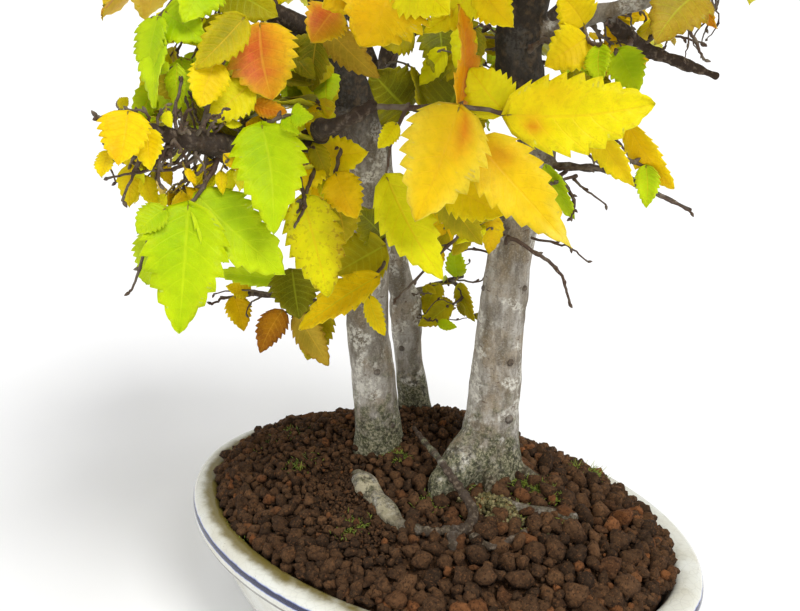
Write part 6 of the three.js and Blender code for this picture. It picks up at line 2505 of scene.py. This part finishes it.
@dataclass(frozen=True)
class Thicket:
    """Fine twigs with small leaves that fill a part of the crown behind the leaves of the front view.

    Attributes:
        name: The piece's name.
        limbs: The limbs that the twigs grow from, each at its nearest place.
        area: Picture points of two corners of the part that it fills.
        depth: The least and the greatest depth of the twigs' ends.
        twigs: How many twigs there are.
        leaves: How many leaves each has.
        size: The least and the greatest length of a leaf in millimetres.
        looks: How its leaves have turned.
        start: The radius of a twig where it starts, in millimetres.
    """

    name: str
    limbs: tuple[str, ...]
    area: tuple[float, float, float, float]
    depth: tuple[float, float]
    twigs: int
    leaves: int
    size: tuple[float, float]
    looks: tuple[Look, ...]
    start: float = 0.6

    def leaf(self, base: Array, away: Array, dice: np.random.Generator) -> Leaf:
        """A leaf that leaves its twig aslant and hangs a little.

        Args:
            base: The blade's start.
            away: The twig's direction there.
            dice: Random numbers.

        Returns:
            The leaf.
        """
        eye = at(*PLANTING.eye)
        heading = away * 0.5 + dice.normal(size=3) * 0.55 - UP * 0.55
        size = dice.uniform(*self.size)
        face = UP * 0.5 + unit(eye - base) * 0.8 + dice.normal(size=3) * 0.3
        look = self.looks[int(dice.integers(len(self.looks)))]
        tip = base + unit(heading) * size
        return Leaf(base, tip, size * dice.uniform(0.46, 0.58), face, look, teeth=6, steps=2, columns=1)

    def build(self, skin: bpy.types.Material, twig_bark: bpy.types.Material) -> bpy.types.Object:
        """Make the thicket as one piece: each twig wavers from its limb to a place of chance in the part.

        Args:
            skin: The leaf skin.
            twig_bark: The twigs' finish.

        Returns:
            The piece.
        """
        dice = np.random.default_rng(sum(map(ord, self.name)))
        lines = [middle_of(LIMBS[name]) for name in self.limbs]
        parts = []
        for _ in range(self.twigs):
            left, top, right, bottom = self.area
            across, down = dice.uniform(left, right), dice.uniform(top, bottom)
            end = seen(across, down, dice.uniform(*self.depth))
            root = nearest_on(lines, end)
            bow = dice.normal(size=(2, 3)) * 0.08 * np.linalg.norm(end - root)
            twig = np.array([root, root * 0.64 + end * 0.36 + bow[0], root * 0.3 + end * 0.7 + bow[1], end])
            parts.append(budded_twig(twig, self.start * dice.uniform(0.7, 1.2), dice).finished(1))
            for k in range(self.leaves):
                share = 1.0 if k == 0 else dice.uniform(0.35, 0.95)
                base = twig[2] * (1 - share) + end * share + dice.normal(size=3) * 1.5
                fork = twig[2] * (1 - share) + end * share
                leaf = self.leaf(base, unit(end - twig[2]), dice)
                curve = np.array([fork, (fork + base) / 2, base, base + (leaf.tip - base) * 0.08])
                parts.append(leaf.build(dice))
                parts.append(tube(curve, np.array([0.4, 0.34, 0.3, 0.16]), 5).tinted(STALK, 0.2))
        return declare(to_object(self.name, joined(parts), [skin, twig_bark]))


# Two mixes of looks, and the thickets that have them.
FRESH = (Look.GREEN, Look.LEMON_LIME, Look.OLIVE, Look.LIME, Look.FOREST)
WARM = (Look.YELLOW, Look.GOLD, Look.LEMON_LIME, Look.AMBER, Look.OLIVE)
THICKETS = (
    Thicket(
        "thicket_left_twigs", ("left_front",), (96, 106, 238, 198), (-76, -52),
        30, 0, (7, 10), WARM, 0.66,
    ),
    Thicket(
        "thicket_near_trunk", ("left_front",), (240, 88, 330, 175), (-46, -20),
        20, 1, (8, 14), WARM, 0.56,
    ),
    Thicket(
        "thicket_left_bits", ("left_front",), (105, 104, 240, 172), (-78, -60),
        14, 1, (5, 9), WARM, 0.5,
    ),
    Thicket(
        "thicket_left_upper", ("left_front", "left_high"), (158, 62, 212, 108), (-56, -26),
        11, 2, (12, 18), FRESH,
    ),
    Thicket("thicket_left_top", ("left_high",), (160, 4, 238, 84), (-40, -8), 11, 2, (12, 19), FRESH),
    Thicket(
        "thicket_left_inner", ("left_high", "left_trunk"), (258, 50, 336, 112), (-24, 22),
        12, 2, (12, 19), FRESH,
    ),
    Thicket("thicket_left_lower", ("left_front",), (128, 158, 205, 206), (-74, -54), 11, 2, (8, 14), WARM),
    Thicket(
        "thicket_left_gap", ("left_stub", "left_low"), (290, 160, 338, 205), (-28, 2),
        5, 2, (10, 16), WARM,
    ),
    Thicket(
        "thicket_middle", ("right_trunk", "back_trunk"), (418, 190, 500, 250), (-10, 34),
        11, 2, (11, 17), WARM,
    ),
    Thicket("thicket_middle_top", ("right_trunk",), (440, 30, 506, 130), (0, 40), 9, 2, (12, 18), FRESH),
    Thicket("thicket_arm", ("right_arm",), (575, 12, 662, 56), (0, 30), 10, 2, (10, 17), WARM),
    Thicket(
        "thicket_arm_twigs", ("right_arm", "right_mid"), (600, 6, 712, 82), (-12, 24),
        14, 0, (7, 10), WARM, 0.6,
    ),
    Thicket(
        "thicket_right", ("right_trunk", "right_low"), (540, 60, 600, 116), (0, 30),
        6, 2, (12, 17), FRESH,
    ),
    Thicket("thicket_low_gap", ("back_trunk",), (412, 282, 480, 320), (44, 72), 6, 1, (6, 10), FRESH, 0.5),
)


# The moss


@dataclass
class Tufts:
    """Tufts of moss and grass: three-sided blades that lean outwards from each tuft's middle.

    Attributes:
        spots: Picture point, reach of the tuft in millimetres, blades and their length.
    """

    spots: tuple[tuple[float, float, float, int, float], ...] = (
        (300, 465, 9, 60, 2.4),
        (243, 540, 8, 60, 1.6),
        (352, 528, 7, 160, 1.8),
        (400, 458, 5, 110, 2.4),
        (383, 452, 5, 110, 1.8),
        (520, 486, 4, 110, 3.2),
        (536, 490, 6, 140, 3.4),
        (556, 500, 5, 80, 2.4),
        (584, 476, 5, 160, 4.4),
        (594, 481, 4, 120, 3.6),
        (566, 530, 4, 60, 2.6),
        (430, 505, 6, 140, 1.8),
        (480, 500, 9, 240, 2.0),
        (505, 515, 9, 160, 2.2),
        (290, 433, 11, 120, 1.6),
        (255, 447, 9, 90, 1.6),
    )

    def build(self, moss: bpy.types.Material) -> bpy.types.Object:
        """Make all tufts as one piece.

        Args:
            moss: Their finish.

        Returns:
            The piece.
        """
        dice = np.random.default_rng(5)
        blades = []
        for across, down, reach, count, long in self.spots:
            middle = seen_on_soil(across, down, 0)
            for _ in range(count):
                away = dice.normal(size=2) * reach * 0.5
                x, y = middle[0] + away[0], middle[1] + away[1]
                foot = np.array([x, y, float(MOUND.height(np.array(x), np.array(y))) + 0.4])
                lean = np.array([*dice.normal(size=2) * 0.5, 1.0])
                size = long * dice.uniform(0.6, 1.25)
                droop = np.array([lean[0], lean[1], -0.3]) * size * 0.3
                path = np.array([foot, foot + lean * size * 0.5, foot + lean * size + droop])
                shade = dice.uniform(0, 1)
                colour = linear(158, 172, 52) * shade + linear(88, 104, 34) * (1 - shade)
                blades.append(tube(path, np.array([0.3, 0.22, 0.05]), 3, rounding=False).tinted(colour))
        return declare(to_object("moss_tufts", joined(blades), [moss]))


# Lichen and drain nets


def lichen_crumbs(clay: bpy.types.Material) -> bpy.types.Object:
    """Make the pale crumbs of lichen and dry moss that lie heaped between the right-hand tree's roots.

    Args:
        clay: The granules' finish.

    Returns:
        The piece.
    """
    dice = np.random.default_rng(8)
    count, spread = 620, np.array([8.0, 5.0])
    away = dice.normal(size=(count, 2)) * spread
    x, y = (seen_on_soil(495, 506, 2)[:2] + away).T
    heap = 4.2 * np.exp(-np.sum((away / spread) ** 2, 1) / 2)
    places = np.stack([x, y, dice.uniform(0.9, 2.4, count)], 1)
    pale = Soil(MOUND, brown=(176, 166, 120), dark=(92, 92, 56), rust=(150, 130, 70))
    crumbs = pale.strewn(places, MOUND.height(x, y) + heap + dice.uniform(-0.6, 0.9, count), 3, 6, dice)
    return declare(to_object("lichen_crumbs", crumbs, [clay]))


def dress_nets() -> None:
    """Give both drain nets their plastic."""
    plastic = NetPlastic().material()
    for name in ("drain_net_left", "drain_net_right"):
        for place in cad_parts[name].material_slots:
            place.material = plastic


# The studio


@dataclass
class Studio:
    """A plain pale floor, soft lights and the camera of the front view.

    Attributes:
        reach: Half of the floor's width in metres.
        sky: Brightness of the surrounding light.
        sensor: The camera's sensor width in millimetres.
        far: How far the camera sees, in metres.
    """

    reach: float = 60.0
    sky: float = 0.62
    sensor: float = 36.0
    far: float = 200.0

    def camera(self) -> None:
        """Set the camera at the view's eye, looking down by its pitch."""
        lens = bpy.data.cameras.new("camera")
        lens.sensor_width = self.sensor
        lens.lens = PLANTING.focal * self.sensor / (2 * PLANTING.middle[0])
        lens.clip_end = self.far
        camera = bpy.data.objects.new("camera", lens)
        camera.location = (at(*PLANTING.eye) + POT_MIDDLE) * MM
        camera.rotation_euler = (math.pi / 2 - PLANTING.pitch, 0.0, PLANTING.turn)
        bpy.context.scene.collection.objects.link(camera)
        bpy.context.scene.camera = camera

    def floor(self) -> None:
        """Lay the floor."""
        corners = np.array([[-1, -1, 0], [1, -1, 0], [1, 1, 0], [-1, 1, 0]]) * self.reach / MM
        sheet = Shape(corners - POT_MIDDLE, np.array([[0, 1, 2, 3]]))
        floor = to_object("floor", sheet, [Paper().material()])

    def light(self, name: str, place: tuple[float, float, float], spread: float, power: float) -> None:
        """A soft far light that looks at the trees.

        Args:
            name: Its name.
            place: Its direction from the planting, in its frame.
            spread: The angle that it fills, in degrees.
            power: Its power in watts a square metre.
        """
        lamp = bpy.data.lights.new(name, "SUN")
        lamp.angle = math.radians(spread)
        lamp.energy = power
        made = bpy.data.objects.new(name, lamp)
        spot = (at(*place) + POT_MIDDLE) * MM
        aim = np.array([0, 0, 0.2]) - spot
        made.location = spot
        flat = math.hypot(aim[0], aim[1])
        made.rotation_euler = (math.atan2(flat, -aim[2]), 0.0, math.atan2(aim[1], aim[0]) - math.pi / 2)
        bpy.context.scene.collection.objects.link(made)

    def build(self) -> None:
        """Set the surrounding light, the lights and the floor."""
        world = bpy.data.worlds.new("studio")
        world.use_nodes = True
        sky = world.node_tree.nodes["Background"]
        sky.inputs["Color"].default_value = (1.0, 1.0, 1.0, 1.0)
        sky.inputs["Strength"].default_value = self.sky
        bpy.context.scene.world = world
        bpy.context.scene.view_settings.view_transform = "Standard"
        self.light("key", (500, -620, 1300), 24.0, 2.1)
        self.light("fill", (-900, -500, 700), 60.0, 0.5)
        self.floor()


# All pieces together


def main() -> None:
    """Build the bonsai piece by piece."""
    logging.basicConfig(level=logging.INFO, format="%(message)s")
    studio = Studio()
    studio.camera()
    studio.build()
    bark, twig = Bark().material(), Twig().material()
    veins = {
        Hue.LIME: (208, 226, 30),
        Hue.GREEN: (190, 204, 44),
        Hue.YELLOW: (228, 178, 30),
        Hue.ORANGE: (240, 190, 56),
    }
    skins = {
        hue: LeafFinish(f"leaf_skin_{hue.name.lower()}", vein).material()
        for hue, vein in veins.items()
    }
    POT.build(Glaze().material())
    clay = Clay().material()
    Soil(MOUND).build(clay, Clay("soil_dust", 0.6, 0.8).material())
    lichen_crumbs(clay)
    left = ("left_trunk", "left_front", "left_stub", "left_high", "left_low", "left_back")
    Tree("tree_left", (*left, "left_top_back", "left_top_front")).build(bark, twig)
    Tree("tree_back", ("back_trunk", "back_right", "back_left", "back_low")).build(bark, twig)
    right = ("right_trunk", "right_arm", "right_low", "right_mid", "right_back", "right_front")
    Tree("tree_right", (*right, "right_top", "centre_back"), roots=True).build(bark, twig)
    for name, plan in FRONT_SPRAYS.items():
        Spray.front(f"spray_{name}", plan).build(skins, twig)
    for seed, (_, _, _, hue) in enumerate(CROWN_SPRAYS, 1):
        Spray.crown(f"crown_{hue.name.lower()}_{seed}", seed, 5).build(skins, twig)
    for thicket in THICKETS:
        thicket.build(skins[Hue.YELLOW], twig)
    Tufts().build(Moss().material())
    dress_nets()


if __name__ == "__main__":
    main()
